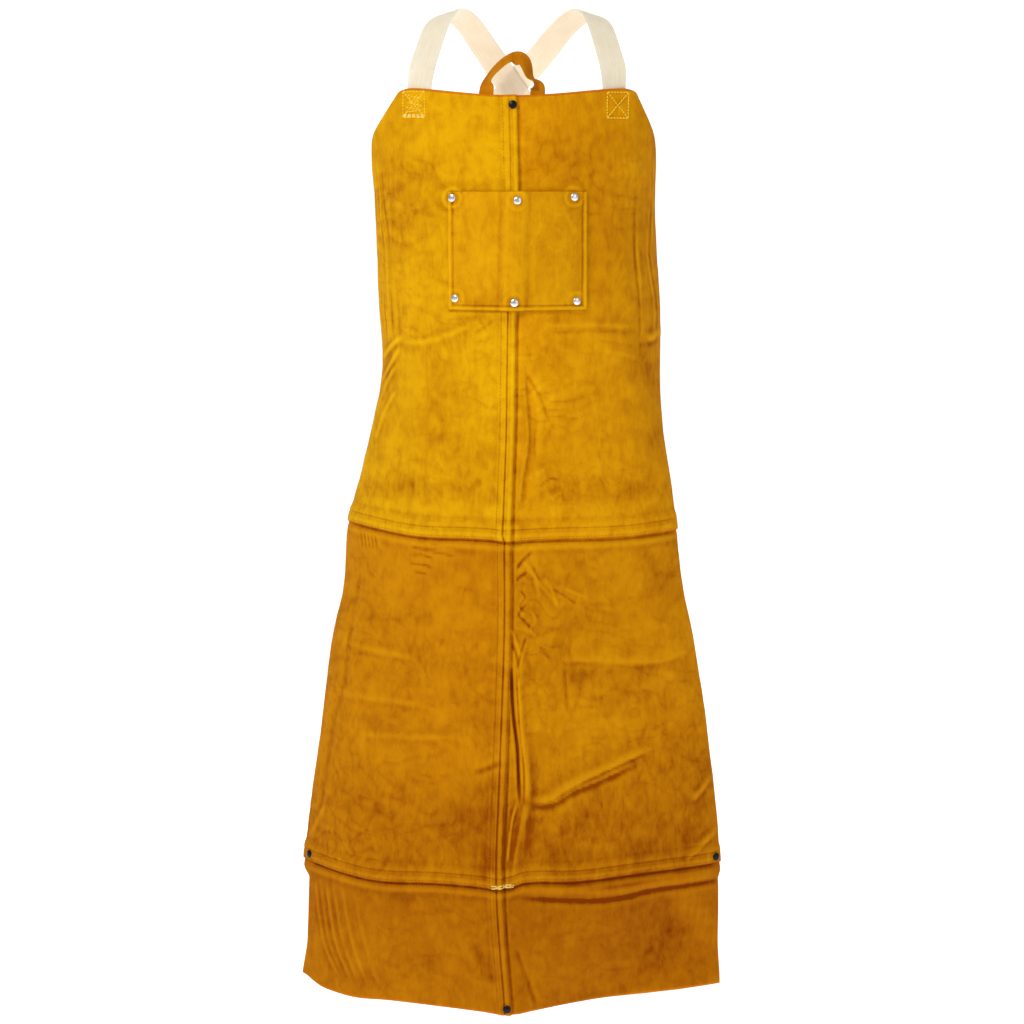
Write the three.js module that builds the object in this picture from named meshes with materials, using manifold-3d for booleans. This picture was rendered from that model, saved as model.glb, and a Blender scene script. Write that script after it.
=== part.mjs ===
// A welder's bib apron in its worn form: six split-leather panels lapped like shingles and sewn
// together, a patch pocket and a hanging loop of the same hide, two webbing straps that cross
// behind, and cap rivets. Millimetres, +Z up, the wearer faces -Y, left is -X. The origin lies
// midway between the places where the straps rest on the shoulders.
import * as THREE from "three";
import { mergeVertices } from "three/addons/utils/BufferGeometryUtils.js";
import Module from "manifold-3d";

const wasm = await Module();
wasm.setup();
const { clamp, degToRad, lerp, smoothstep } = THREE.MathUtils;

// Hide and seams
const HIDE = 1.6; // leather thickness
const GAP = 0.5; // clearance between layers that are sewn together
const LAYER = HIDE + GAP; // rise of one layer over the next
const ROW_LAP = 14; // overlap of a panel over the row below
const CENTRE_LAP = 12; // overlap of the left panels over the right ones
const RAMP = 10; // length over which a panel climbs onto its neighbour
const RAMP_END = 1.5; // distance between the ramp and the neighbour's edge

// Heights of the cut edges
const NECK_Z = -89.5; // the bib's top corners
const NECK_DIP = 9.5; // sag of the neck edge at its middle
const NECK_ROUND = 6; // drop of the rounded top corners
const ARM_Z = -143; // lower end of the slanted armhole cuts
const ARM_ROUND = 4; // softness of the corner there
const YOKE_Z = -172; // rows above this height follow the neck edge
const HEM_STEP = 12; // height over which the hem panels step in under the seam
const HEM_FLARE = 60; // height over which they come out again at the hem

// Both cross seams and the hem: height, then their waves, each with its distance from the centre
// seam as measured at the top corners' width, its reach and its rise
const BIB_SEAM = { z: -604, waves: [[0, 35, -2.5], [-74, 33, -5], [100, 58, -5]] };
const HEM_SEAM = { z: -1017, waves: [[0, 35, -5], [-85, 26, -6], [32, 15, 4], [59, 21, -2]] };
const HEM = { z: -1171, waves: [[0, 35, -5], [-98, 14, -4], [-128, 8, 11]] };

// The two halves, with the half-width of the cut at the bib's top corners and how far the hem
// panel's edge stands inside the skirt panel's just under their seam
const LEFT = { name: "left", sign: -1, cornerHalf: 128, hemInset: 8 };
const RIGHT = { name: "right", sign: 1, cornerHalf: 139, hemInset: 3 };

// Horizontal sections of the draped hide: x of the left edge, centre seam and right edge, y of the
// front line, then for each half how far it falls back as a straight roof and as a curl at its edge
const SECTIONS = [
  { z: -60, left: -165, seam: 0, right: 167, front: -91, roofL: 12, roofR: 12, curlL: 62, curlR: 62 },
  { z: -143, left: -164, seam: 3, right: 168, front: -103, roofL: 14, roofR: 14, curlL: 74, curlR: 74 },
  { z: -230, left: -159.5, seam: 4, right: 167, front: -110, roofL: 18, roofR: 18, curlL: 84, curlR: 84 },
  { z: -330, left: -157, seam: 1, right: 173, front: -112, roofL: 24, roofR: 22, curlL: 88, curlR: 86 },
  { z: -407, left: -153.5, seam: 0, right: 175, front: -111, roofL: 34, roofR: 28, curlL: 82, curlR: 78 },
  { z: -480, left: -164.5, seam: -1, right: 179, front: -110, roofL: 46, roofR: 38, curlL: 76, curlR: 62 },
  { z: -607, left: -197.5, seam: -5, right: 196, front: -112, roofL: 60, roofR: 50, curlL: 76, curlR: 40 },
  { z: -680, left: -204, seam: -5, right: 205, front: -113, roofL: 55, roofR: 51, curlL: 77, curlR: 40 },
  { z: -740, left: -216.5, seam: -6, right: 218, front: -115, roofL: 48, roofR: 52, curlL: 80, curlR: 40 },
  { z: -880, left: -235, seam: -11, right: 239, front: -117, roofL: 30, roofR: 56, curlL: 86, curlR: 36 },
  { z: -1022, left: -254, seam: -15, right: 253, front: -118, roofL: 20, roofR: 58, curlL: 88, curlR: 34 },
  { z: -1173, left: -258, seam: -5, right: 255, front: -125, roofL: 50, roofR: 88, curlL: 50, curlR: 6 },
];
const RIDGE = 0.1; // rounding of the roof along the centre seam, as a share of the half-width
const WRAP = degToRad(72); // turn of the curl at the edge

// Main folds: each line's ends as x and z, its width, and its height out of the hide
const FOLDS = [
  { name: "tuck beside the seam", from: [9, -724], to: [20, -922], width: 13, height: 6 },
  { name: "tuck, foot", from: [20, -922], to: [2, -1000], width: 11, height: 4 },
  { name: "crease from the tuck", from: [40, -912], to: [150, -868], width: 18, height: 4 },
  { name: "hollow under the crease", from: [45, -946], to: [165, -900], width: 18, height: -3.5 },
  { name: "soft crease", from: [70, -748], to: [190, -742], width: 22, height: 3 },
  { name: "bulge over the bib seam", from: [-190, -574], to: [190, -576], width: 18, height: 3 },
  { name: "hollow over the bulge", from: [-170, -540], to: [175, -544], width: 20, height: -3 },
  { name: "waist fold, upper", from: [-144, -368], to: [-120, -322], width: 14, height: 4 },
  { name: "waist fold, lower", from: [-154, -462], to: [-152, -512], width: 14, height: 3.5 },
  { name: "waist hollow", from: [-100, -408], to: [-70, -400], width: 16, height: -3 },
  { name: "strap tug", from: [172, -352], to: [145, -362], width: 13, height: 3.5 },
  { name: "hem ripple, outer", from: [-228, -1050], to: [-205, -1160], width: 15, height: 4 },
  { name: "hem ripple, inner", from: [-192, -1060], to: [-160, -1165], width: 15, height: 3.5 },
  { name: "hem hollow", from: [95, -1180], to: [160, -1120], width: 50, height: -8 },
];

// Chest pocket
const POCKET_LEFT = -71.5;
const POCKET_RIGHT = 84;
const POCKET_TOP = -207;
const POCKET_BOTTOM = -341;
const POCKET_GAP = 0.3; // clearance beyond the usual gap
const POCKET_BELLY = 2; // how far the mouth stands open in the middle of each half

// Webbing straps and hanging loop
const STRAP_WIDTH = 32;
const STRAP_THICK = 1.8;
const STRAP_LIFT = -2.8; // middle of a strap's sewn end at the bib, under the hide's inner face
const WAIST_LIFT = -3.7; // the same at the waist, where the hide curves more
const LOOP_WIDTH = 17;
const LOOP_THICK = 1.6;
const LOOP_LIFT = -1.9; // middle of the loop's sewn ends, under the hide's inner face

// Cap rivets
const CAP_RADIUS = 4.7;
const CAP_RIM = 0.6;
const CAP_RISE = 1.8;
const SHANK_RADIUS = 1.6;
const WASHER_RADIUS = 4;
const WASHER_THICK = 0.8;
const RIVET_FRONT_CLEAR = 0.35;
const RIVET_BACK_CLEAR = 0.6;
const RIVET_SIDES = 10;
const HOLE_RADIUS = 1.95;
const HOLE_REACH = 12;

const LEATHER = { roughness: 0.9, metalness: 0 };
const bibHide = new THREE.MeshStandardMaterial({ color: "#dc9c08", ...LEATHER });
const skirtHide = new THREE.MeshStandardMaterial({ color: "#c47e07", ...LEATHER });
const hemHide = new THREE.MeshStandardMaterial({ color: "#ab6406", ...LEATHER });
const webbing = new THREE.MeshStandardMaterial({ color: "#f3e6cf", roughness: 0.85, metalness: 0 });
const nickel = new THREE.MeshStandardMaterial({ color: "#bfc1c4", roughness: 0.25, metalness: 1 });

// Rows of panels, top to bottom: lower edge, plain grid steps, and which rows lie over or under
const ROWS = [
  { name: "bib", under: null, bottom: BIB_SEAM, over: true, steps: 14, material: bibHide },
  { name: "skirt", under: BIB_SEAM, bottom: HEM_SEAM, over: true, steps: 14, material: skirtHide },
  { name: "hem", under: HEM_SEAM, bottom: HEM, over: false, steps: 6, material: hemHide },
];

// Slope of one section column at a row of the table
function sectionSlope(column, k) {
  const before = SECTIONS[Math.max(k - 1, 0)];
  const after = SECTIONS[Math.min(k + 1, SECTIONS.length - 1)];
  return (after[column] - before[column]) / (after.z - before.z);
}

// One section column at any height, on a smooth curve through the table
function section(column, z) {
  let k = 0;
  while (k < SECTIONS.length - 2 && z < SECTIONS[k + 1].z) k += 1;
  const [a, b] = [SECTIONS[k], SECTIONS[k + 1]];
  const span = b.z - a.z;
  const t = (z - a.z) / span;
  const ease = t * t * (3 - 2 * t);
  const startPull = t * (1 - t) ** 2 * span * sectionSlope(column, k);
  const endPull = t * t * (1 - t) * span * sectionSlope(column, k + 1);
  return lerp(a[column], b[column], ease) + startPull - endPull;
}

// Depth of the draped hide's inner face behind a point of the front view
function drapeY(x, z) {
  const seam = section("seam", z);
  const [edge, roof, curl] = x < seam ? ["left", "roofL", "curlL"] : ["right", "roofR", "curlR"];
  const t = Math.abs((x - seam) / (section(edge, z) - seam));
  const ridge = (Math.hypot(t, RIDGE) - RIDGE) / (Math.hypot(1, RIDGE) - RIDGE);
  const sine = Math.min(t * Math.sin(WRAP), 0.999);
  const turn = (1 - Math.sqrt(1 - sine * sine)) / (1 - Math.cos(WRAP));
  return section("front", z) + section(roof, z) * ridge + section(curl, z) * turn;
}

// Outward direction of the draped hide
function hideNormal(x, z) {
  const step = 2;
  const slopeX = (drapeY(x + step, z) - drapeY(x - step, z)) / (2 * step);
  const slopeZ = (drapeY(x, z + step) - drapeY(x, z - step)) / (2 * step);
  return new THREE.Vector3(slopeX, -1, slopeZ).normalize();
}

// Sum of the folds at a point, each a round ridge or hollow along its line
function foldHeight(x, z) {
  let height = 0;
  for (const fold of FOLDS) {
    const line = new THREE.Line3(new THREE.Vector3(fold.from[0], 0, fold.from[1]),
      new THREE.Vector3(fold.to[0], 0, fold.to[1]));
    const point = new THREE.Vector3(x, 0, z);
    const away = line.closestPointToPoint(point, true, new THREE.Vector3()).distanceTo(point);
    height += fold.height * Math.exp(-((away / fold.width) ** 2));
  }
  return height;
}

// A point lifted off the draped hide along its outward direction
function hidePoint(x, z, lift) {
  const base = new THREE.Vector3(x, drapeY(x, z), z);
  return base.addScaledVector(hideNormal(x, z), lift + foldHeight(x, z));
}

// The smaller of two values, rounded off where they come close
function softMin(a, b, round) {
  const apart = Math.abs(a - b);
  return Math.min(a, b) - round * Math.log(1 + Math.exp(-apart / round));
}

// Half-width of a panel's cut at a height: the slanted armhole above, the section's edge below
function cutHalf(side, row, z) {
  const plain = (height) => Math.abs(section(side.name, height) - section("seam", height));
  if (row.name === "bib") {
    const arm = lerp(plain(ARM_Z), side.cornerHalf, (z - ARM_Z) / (NECK_Z - ARM_Z));
    return softMin(arm, plain(z), ARM_ROUND);
  }
  if (row.name === "skirt") return plain(z);
  const belowSeam = smoothstep(HEM_SEAM.z - z, 0, HEM_STEP);
  return plain(z) - side.hemInset * belowSeam * smoothstep(z, HEM.z, HEM.z + HEM_FLARE);
}

// Height of the neck edge, with share running from 0 at the seam to 1 at the corner
function neckZ(share) {
  const corner = clamp((share - 0.88) / 0.12, 0, 1);
  const drop = NECK_ROUND * (1 - Math.sqrt(1 - corner * corner));
  return NECK_Z - NECK_DIP * (1 - share * share) ** 2 - drop;
}

// Height of a seam or hem at a distance from the centre seam, negative to the left
function edgeZ(edge, offset) {
  const rises = edge.waves.map(([place, reach, rise]) => rise * Math.exp(-(((offset - place) / reach) ** 2)));
  return rises.reduce((z, rise) => z + rise, edge.z);
}

// Heights of a panel's grid rows down one column; rows that overlap share theirs
function columnHeights(side, row, offset) {
  const bib = row.under === null;
  const top = bib ? YOKE_Z : edgeZ(row.under, side.sign * offset);
  const bottom = edgeZ(row.bottom, side.sign * offset);
  const neck = neckZ(offset / side.cornerHalf);
  const yoke = [0, 0.25, 0.5, 0.75, 1].map((t) => lerp(neck, YOKE_Z, t));
  const lapUnder = [ROW_LAP, ROW_LAP / 2, 0].map((rise) => top + rise);
  const rampRises = [ROW_LAP + RAMP_END + RAMP, ROW_LAP + RAMP_END, ROW_LAP, ROW_LAP / 2, 0];
  const foot = (row.over ? rampRises : [0]).map((rise) => bottom + rise);
  const middle = [];
  for (let k = 1; k < row.steps; k += 1) middle.push(lerp(top, foot[0], k / row.steps));
  return [...(bib ? yoke : lapUnder), ...middle, ...foot];
}

// Distances of the grid columns from the centre seam, the first ones shared by both halves
const SEAM_COLUMNS = [
  -CENTRE_LAP / 2,
  CENTRE_LAP / 2,
  CENTRE_LAP / 2 + RAMP_END,
  CENTRE_LAP / 2 + RAMP_END + RAMP,
  CENTRE_LAP / 2 + RAMP_END + 2 * RAMP,
];
const FREE_COLUMNS = 11;
function columnOffset(k, half) {
  if (k < SEAM_COLUMNS.length) return SEAM_COLUMNS[k];
  const t = (k - SEAM_COLUMNS.length + 1) / FREE_COLUMNS;
  return lerp(SEAM_COLUMNS.at(-1), half, Math.sin(t * WRAP) / Math.sin(WRAP));
}

// 1 beside the centre seam, falling to 0 over the ramp
function nearSeam(offset) {
  return 1 - smoothstep(offset, SEAM_COLUMNS[2], SEAM_COLUMNS[3]);
}

// Layers under a panel: left over right at the centre, and each row's lower edge over the row
// below with that row's own centre lap; rise is the height over the panel's lower edge
function layersUnder(side, row, offset, rise) {
  const atSeam = nearSeam(offset);
  const atEdge = row.over ? 1 - smoothstep(rise, ROW_LAP + RAMP_END, ROW_LAP + RAMP_END + RAMP) : 0;
  return (side === LEFT ? atSeam : 0) + atEdge * (1 + atSeam);
}

// A closed wall over a grid whose columns run to +X and rows run down
function wallGeometry(columns, rows, pointAt) {
  const positions = [];
  for (const lift of [HIDE, 0]) {
    for (let j = 0; j < rows; j += 1) {
      for (let i = 0; i < columns; i += 1) positions.push(...pointAt(i, j, lift));
    }
  }
  const front = (i, j) => j * columns + i;
  const back = (i, j) => (rows + j) * columns + i;
  const index = [];
  const quad = (a, b, c, d) => index.push(a, b, c, a, c, d);
  for (let j = 0; j < rows - 1; j += 1) {
    for (let i = 0; i < columns - 1; i += 1) {
      quad(front(i, j), front(i, j + 1), front(i + 1, j + 1), front(i + 1, j));
      quad(back(i, j), back(i + 1, j), back(i + 1, j + 1), back(i, j + 1));
    }
  }
  const [right, low] = [columns - 1, rows - 1];
  for (let i = 0; i < right; i += 1) {
    quad(front(i, 0), front(i + 1, 0), back(i + 1, 0), back(i, 0));
    quad(front(i + 1, low), front(i, low), back(i, low), back(i + 1, low));
  }
  for (let j = 0; j < low; j += 1) {
    quad(front(0, j + 1), front(0, j), back(0, j), back(0, j + 1));
    quad(front(right, j), front(right, j + 1), back(right, j + 1), back(right, j));
  }
  return bufferGeometry(positions, index);
}

function bufferGeometry(positions, index) {
  const geometry = new THREE.BufferGeometry();
  geometry.setAttribute("position", new THREE.Float32BufferAttribute(positions, 3));
  geometry.setIndex(index);
  geometry.computeVertexNormals();
  return geometry;
}

// One panel of hide
function panelGeometry(side, row) {
  const columns = [];
  for (let k = 0; k < SEAM_COLUMNS.length + FREE_COLUMNS; k += 1) {
    const nominal = columnOffset(k, side.cornerHalf);
    const bottom = edgeZ(row.bottom, side.sign * nominal);
    const places = columnHeights(side, row, nominal).map((z) => {
      const offset = columnOffset(k, cutHalf(side, row, z));
      const layers = layersUnder(side, row, offset, z - bottom);
      return { x: section("seam", z) + side.sign * offset, z, base: layers * LAYER };
    });
    columns.push(places);
  }
  if (side === LEFT) columns.reverse();
  const pointAt = (i, j, lift) => hidePoint(columns[i][j].x, columns[i][j].z, columns[i][j].base + lift);
  return wallGeometry(columns.length, columns[0].length, pointAt);
}

// Clear height of the pocket's inner face over the bib's
function pocketLift(x, z) {
  const offset = Math.abs(x - section("seam", z));
  const half = (POCKET_RIGHT - POCKET_LEFT) / 2;
  const across = Math.sin(Math.PI * clamp(offset / half, 0, 1));
  const open = smoothstep(z, POCKET_BOTTOM, POCKET_TOP);
  return LAYER * (1 + nearSeam(offset)) + POCKET_GAP + POCKET_BELLY * across * open;
}

// The patch pocket, lying over the centre seam's ridge
function pocketGeometry() {
  const rows = 9;
  const seamLine = SEAM_COLUMNS.slice(1, 4);
  const plainSteps = [0.25, 0.5, 0.75, 1];
  const pointAt = (i, j, lift) => {
    const z = lerp(POCKET_TOP, POCKET_BOTTOM, j / (rows - 1));
    const seam = section("seam", z);
    const reach = (edge) => plainSteps.map((t) => lerp(seamLine.at(-1), Math.abs(edge - seam), t));
    const leftward = [...seamLine, ...reach(POCKET_LEFT)].map((offset) => seam - offset);
    const rightward = [...seamLine, ...reach(POCKET_RIGHT)].map((offset) => seam + offset);
    const x = [...leftward.reverse(), ...rightward][i];
    return hidePoint(x, z, lift + pocketLift(x, z));
  };
  return wallGeometry(2 * (seamLine.length + plainSteps.length), rows, pointAt);
}

// A flat strip along a smooth path; each station has a place and the way its outer face looks
function stripGeometry(stations, width, thickness, steps) {
  const path = new THREE.CatmullRomCurve3(stations.map((station) => station.at), false, "catmullrom");
  const facing = new THREE.CatmullRomCurve3(stations.map((station) => station.face), false, "catmullrom");
  const positions = [];
  for (let k = 0; k <= steps; k += 1) {
    const t = k / steps;
    const along = path.getTangent(t);
    const across = new THREE.Vector3().crossVectors(along, facing.getPoint(t)).normalize();
    const face = new THREE.Vector3().crossVectors(across, along).normalize();
    for (const [sideways, out] of [[1, 1], [1, -1], [-1, -1], [-1, 1]]) {
      const corner = path.getPoint(t).addScaledVector(across, (sideways * width) / 2);
      positions.push(...corner.addScaledVector(face, (out * thickness) / 2));
    }
  }
  const index = [];
  const quad = (a, b, c, d) => index.push(a, b, c, a, c, d);
  for (let k = 0; k < steps; k += 1) {
    for (let side = 0; side < 4; side += 1) {
      const next = (side + 1) % 4;
      quad(4 * k + side, 4 * k + next, 4 * k + 4 + next, 4 * k + 4 + side);
    }
  }
  quad(3, 2, 1, 0);
  quad(4 * steps, 4 * steps + 1, 4 * steps + 2, 4 * steps + 3);
  return bufferGeometry(positions, index);
}

// Stations of a strip: one sewn under the hide, and one free
const sewn = (x, z, lift) => ({ at: hidePoint(x, z, lift), face: hideNormal(x, z) });
const free = (at, face) => ({ at: new THREE.Vector3(...at), face: new THREE.Vector3(...face).normalize() });

// Each strap runs from a bib corner over the shoulder, crosses the other behind the neck and is
// sewn inside the opposite edge at the waist
const STRAPS = {
  shoulder_strap_left: [
    sewn(-112.5, -124, STRAP_LIFT),
    sewn(-110, -106, STRAP_LIFT),
    sewn(-107, -88, STRAP_LIFT),
    free([-103, -55, -67], [-0.3, -0.9, 0.3]),
    free([-96, -41, -43], [-0.28, -0.8, 0.5]),
    free([-87, -21, -17], [-0.25, -0.6, 0.75]),
    free([-74, 2, -1], [-0.25, 0, 1]),
    free([-62, 24, -3], [-0.15, 0.4, 0.9]),
    free([-49, 46, -15], [0, 0.7, 0.7]),
    free([-35, 73, -34], [0, 0.85, 0.5]),
    free([-20, 94, -55], [0, 0.95, 0.35]),
    free([-5, 106, -77], [0, 1, 0.2]),
    free([24, 111, -120], [0, 1, 0.05]),
    free([62, 111, -180], [0.12, 1, 0]),
    free([100, 103, -243], [0.3, 0.95, 0]),
    free([134, 84, -303], [0.55, 0.85, 0]),
    free([160, 54, -354], [0.8, 0.6, 0]),
    free([173, 22, -390], [0.95, 0.2, 0]),
    sewn(170, -412, WAIST_LIFT),
    sewn(159, -430, WAIST_LIFT),
  ],
  shoulder_strap_right: [
    sewn(123.5, -125, STRAP_LIFT),
    sewn(121, -107, STRAP_LIFT),
    sewn(118.5, -89, STRAP_LIFT),
    free([116, -52, -67], [0.3, -0.9, 0.3]),
    free([110, -40, -43], [0.28, -0.8, 0.5]),
    free([102, -20, -17], [0.25, -0.6, 0.75]),
    free([91, 2, -2], [0.25, 0, 1]),
    free([78, 24, -3], [0.15, 0.4, 0.9]),
    free([59, 49, -18], [0, 0.7, 0.7]),
    free([41, 76, -39], [0, 0.85, 0.5]),
    free([22, 98, -60], [0, 0.95, 0.35]),
    free([5, 109.5, -77], [0, 1, 0.2]),
    free([-26, 114.5, -120], [0, 1, 0.05]),
    free([-62, 112, -180], [-0.12, 1, 0]),
    free([-96, 103, -243], [-0.3, 0.95, 0]),
    free([-124, 84, -303], [-0.55, 0.85, 0]),
    free([-144, 54, -354], [-0.8, 0.6, 0]),
    free([-152, 24, -384], [-0.95, 0.2, 0]),
    sewn(-149, -406, WAIST_LIFT),
    sewn(-138, -424, WAIST_LIFT),
  ],
};
const STRAP_STEPS = 57;

// The hanging loop rises from inside the neck edge, turns over at its top and comes down again
const LOOP = [
  sewn(-30, -120, LOOP_LIFT),
  sewn(-30, -102, LOOP_LIFT),
  free([-27, -88, -87], [-0.15, -1, 0.1]),
  free([-20, -88.5, -74], [-0.4, -0.85, 0.35]),
  free([-9, -90, -62], [-0.3, -0.88, 0.35]),
  free([3, -90.5, -58], [0, -0.95, -0.1]),
  free([11.5, -92, -59], [0.35, -0.75, 0.55]),
  free([16, -93.5, -65], [0.65, -0.75, 0.15]),
  free([18, -92, -73], [0.75, -0.6, 0.1]),
  free([23, -90, -81], [0.8, -0.2, 0.55]),
  free([28.5, -88.5, -89.5], [0.25, -1, 0.15]),
  sewn(29, -103, LOOP_LIFT),
  sewn(29.5, -120, LOOP_LIFT),
];
const LOOP_STEPS = 36;

// Rivets: place, the pieces that each goes through from the back to the front, and the layers held
const BIB_BOTH = ["bib_panel_right", "bib_panel_left"];
const RIVETS = [
  { name: "rivet_neck", x: 1, z: -110, through: BIB_BOTH },
  { name: "rivet_pocket_upper_left", x: -67, z: -214, through: ["bib_panel_left", "chest_pocket"] },
  { name: "rivet_pocket_upper_middle", x: 6, z: -217, through: [...BIB_BOTH, "chest_pocket"] },
  { name: "rivet_pocket_upper_right", x: 69, z: -213, through: ["bib_panel_right", "chest_pocket"] },
  { name: "rivet_pocket_lower_left", x: -64, z: -328, through: ["bib_panel_left", "chest_pocket"] },
  { name: "rivet_pocket_lower_middle", x: 2.5, z: -332, through: [...BIB_BOTH, "chest_pocket"] },
  { name: "rivet_pocket_lower_right", x: 72.5, z: -331, through: ["bib_panel_right", "chest_pocket"] },
  { name: "rivet_seam_left", x: -245, z: -1010, through: ["hem_panel_left", "skirt_panel_left"] },
  { name: "rivet_seam_right", x: 246, z: -1010, through: ["hem_panel_right", "skirt_panel_right"] },
  { name: "rivet_hem", x: -6, z: -1168, through: ["hem_panel_right", "hem_panel_left"] },
];

// Turns geometry made along +Y so that it stands out of the hide at a rivet
function standAt(geometry, rivet) {
  const turn = new THREE.Quaternion();
  turn.setFromUnitVectors(new THREE.Vector3(0, 1, 0), hideNormal(rivet.x, rivet.z));
  const seat = hidePoint(rivet.x, rivet.z, 0);
  return geometry.applyQuaternion(turn).translate(...seat);
}

// Height of the outer face under a rivet's cap
function stackHeight(rivet) {
  if (rivet.through.includes("chest_pocket")) return pocketLift(rivet.x, rivet.z) + HIDE;
  return (rivet.through.length - 1) * LAYER + HIDE;
}

// A domed cap, its shank through the layers and a washer behind
function rivetGeometry(rivet) {
  const washer = -RIVET_BACK_CLEAR;
  const cap = stackHeight(rivet) + RIVET_FRONT_CLEAR;
  const dome = (angle) => {
    const [radius, rise] = [CAP_RADIUS * Math.cos(angle), CAP_RISE * Math.sin(angle)];
    return new THREE.Vector2(radius, cap + CAP_RIM + rise);
  };
  const profile = [
    new THREE.Vector2(0, washer - WASHER_THICK),
    new THREE.Vector2(WASHER_RADIUS, washer - WASHER_THICK),
    new THREE.Vector2(WASHER_RADIUS, washer),
    new THREE.Vector2(SHANK_RADIUS, washer),
    new THREE.Vector2(SHANK_RADIUS, cap),
    new THREE.Vector2(CAP_RADIUS, cap),
    dome(0),
    dome(degToRad(50)),
    new THREE.Vector2(0, cap + CAP_RIM + CAP_RISE),
  ];
  return standAt(new THREE.LatheGeometry(profile, RIVET_SIDES), rivet);
}

// Closed geometry as a solid that can be cut
function toSolid(geometry) {
  const bare = geometry.clone();
  bare.deleteAttribute("normal");
  bare.deleteAttribute("uv");
  const merged = mergeVertices(bare);
  const vertProperties = Float32Array.from(merged.attributes.position.array);
  const triVerts = Uint32Array.from(merged.index.array);
  return new wasm.Manifold(new wasm.Mesh({ numProp: 3, vertProperties, triVerts }));
}

// A piece with the holes of the rivets that go through it
function drilled(name, geometry) {
  let solid = toSolid(geometry);
  for (const rivet of RIVETS.filter((each) => each.through.includes(name))) {
    const drill = new THREE.CylinderGeometry(HOLE_RADIUS, HOLE_RADIUS, 2 * HOLE_REACH, RIVET_SIDES);
    solid = solid.subtract(toSolid(standAt(drill, rivet)));
  }
  const mesh = solid.getMesh();
  return bufferGeometry([...mesh.vertProperties], [...mesh.triVerts]);
}

const apron = new THREE.Group();
function addPiece(name, geometry, material) {
  const mesh = new THREE.Mesh(geometry, material);
  mesh.name = name;
  apron.add(mesh);
}

for (const row of ROWS) {
  for (const side of [LEFT, RIGHT]) {
    const name = `${row.name}_panel_${side.name}`;
    addPiece(name, drilled(name, panelGeometry(side, row)), row.material);
  }
}
addPiece("chest_pocket", drilled("chest_pocket", pocketGeometry()), bibHide);
addPiece("hanging_loop", stripGeometry(LOOP, LOOP_WIDTH, LOOP_THICK, LOOP_STEPS), bibHide);
for (const [name, stations] of Object.entries(STRAPS)) {
  addPiece(name, stripGeometry(stations, STRAP_WIDTH, STRAP_THICK, STRAP_STEPS), webbing);
}
for (const rivet of RIVETS) addPiece(rivet.name, rivetGeometry(rivet), nickel);

export default apron;
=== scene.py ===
"""Looks of a leather welding apron: suede panels with their folds, seams, stitches, straps and rivets."""
import bpy
import math
import numpy as np
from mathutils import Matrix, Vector


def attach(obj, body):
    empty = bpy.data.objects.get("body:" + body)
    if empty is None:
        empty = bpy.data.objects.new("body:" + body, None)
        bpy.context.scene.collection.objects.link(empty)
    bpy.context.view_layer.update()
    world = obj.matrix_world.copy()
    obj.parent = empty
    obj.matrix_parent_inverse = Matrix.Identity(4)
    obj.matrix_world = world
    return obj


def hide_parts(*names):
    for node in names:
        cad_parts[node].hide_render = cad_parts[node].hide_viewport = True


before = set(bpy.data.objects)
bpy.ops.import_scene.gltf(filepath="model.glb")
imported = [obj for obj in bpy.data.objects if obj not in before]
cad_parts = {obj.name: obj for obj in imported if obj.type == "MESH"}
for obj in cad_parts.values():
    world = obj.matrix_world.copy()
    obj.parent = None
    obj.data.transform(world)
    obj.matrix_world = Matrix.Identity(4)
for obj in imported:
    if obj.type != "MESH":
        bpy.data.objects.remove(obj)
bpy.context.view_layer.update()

# Sizes are in millimetres, as in the part's source, until a mesh is made
MM = 0.001
BODY = "root"

# Hide and seams
HIDE = 1.6
GAP = 0.5
LAYER = HIDE + GAP
ROW_LAP = 14
SEAM_UNDER = 6  # how far a right panel runs on under the left one
SEAM_EDGE = 3.6  # how far a left panel runs over the centre seam
RAMP = 10
RAMP_END = 1.5
SEAM_FLAT = SEAM_UNDER + RAMP_END
EDGE_ROUND = 0.35  # how far the middle of a cut edge swells out

# Heights of the cut edges
NECK_Z = -89.5
NECK_DIP = 9.5
NECK_ROUND = 6
NECK_CORNER = 0.88  # share of the half-width from which the neck edge rounds off
ARM_Z = -143
ARM_ROUND = 4  # softness of the corner at the foot of the armhole cut
YOKE_Z = -172
BIB_SEAM_Z = -604
HEM_SEAM_Z = -1017
HEM_Z = -1171
HEM_STEP = 12
HEM_ROLL_REACH = 10  # how far below the seam the hem keeps the width of the skirt
HEM_FLARE = 60

# Waves of the cross seams and the hem: distance from the centre seam at the top corners' width, reach, rise
SEAM_WAVES = {
    BIB_SEAM_Z: ((0, 35, -2.5), (-74, 33, -5), (100, 58, -5)),
    HEM_SEAM_Z: ((0, 35, -5), (-85, 26, -6), (32, 15, 4), (59, 21, -2)),
    HEM_Z: ((0, 35, -5), (-98, 14, -4), (-128, 8, 11)),
}

SIDES = {
    "left": {"sign": -1, "corner_half": 128, "hem_inset": 8},
    "right": {"sign": 1, "corner_half": 139, "hem_inset": 3},
}
ROWS = {
    "bib": {"under": None, "bottom": BIB_SEAM_Z, "over": True},
    "skirt": {"under": BIB_SEAM_Z, "bottom": HEM_SEAM_Z, "over": True},
    "hem": {"under": HEM_SEAM_Z, "bottom": HEM_Z, "over": False},
}

# Steps of the panels' grids, finer beside the seams
FINE_STEP = 0.7
PLAIN_STEP = 2.5
POCKET_STEP = 1.0
FINE_REACH = 27.5
LAP_RUN = 6  # how far below a lapped seam the fine rows run on
TURN_STRETCH = 1.25  # how much longer the way round a panel is than its width
EDGE_SHARE = 0.74  # share of the turn towards the edge from which columns stand closer
EDGE_COLUMNS = 34
SLOPE_STEP = 2  # distance over which the hide's slope is taken
SHARP_ANGLE = 50  # degrees from which an edge is not shaded smooth

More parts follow.
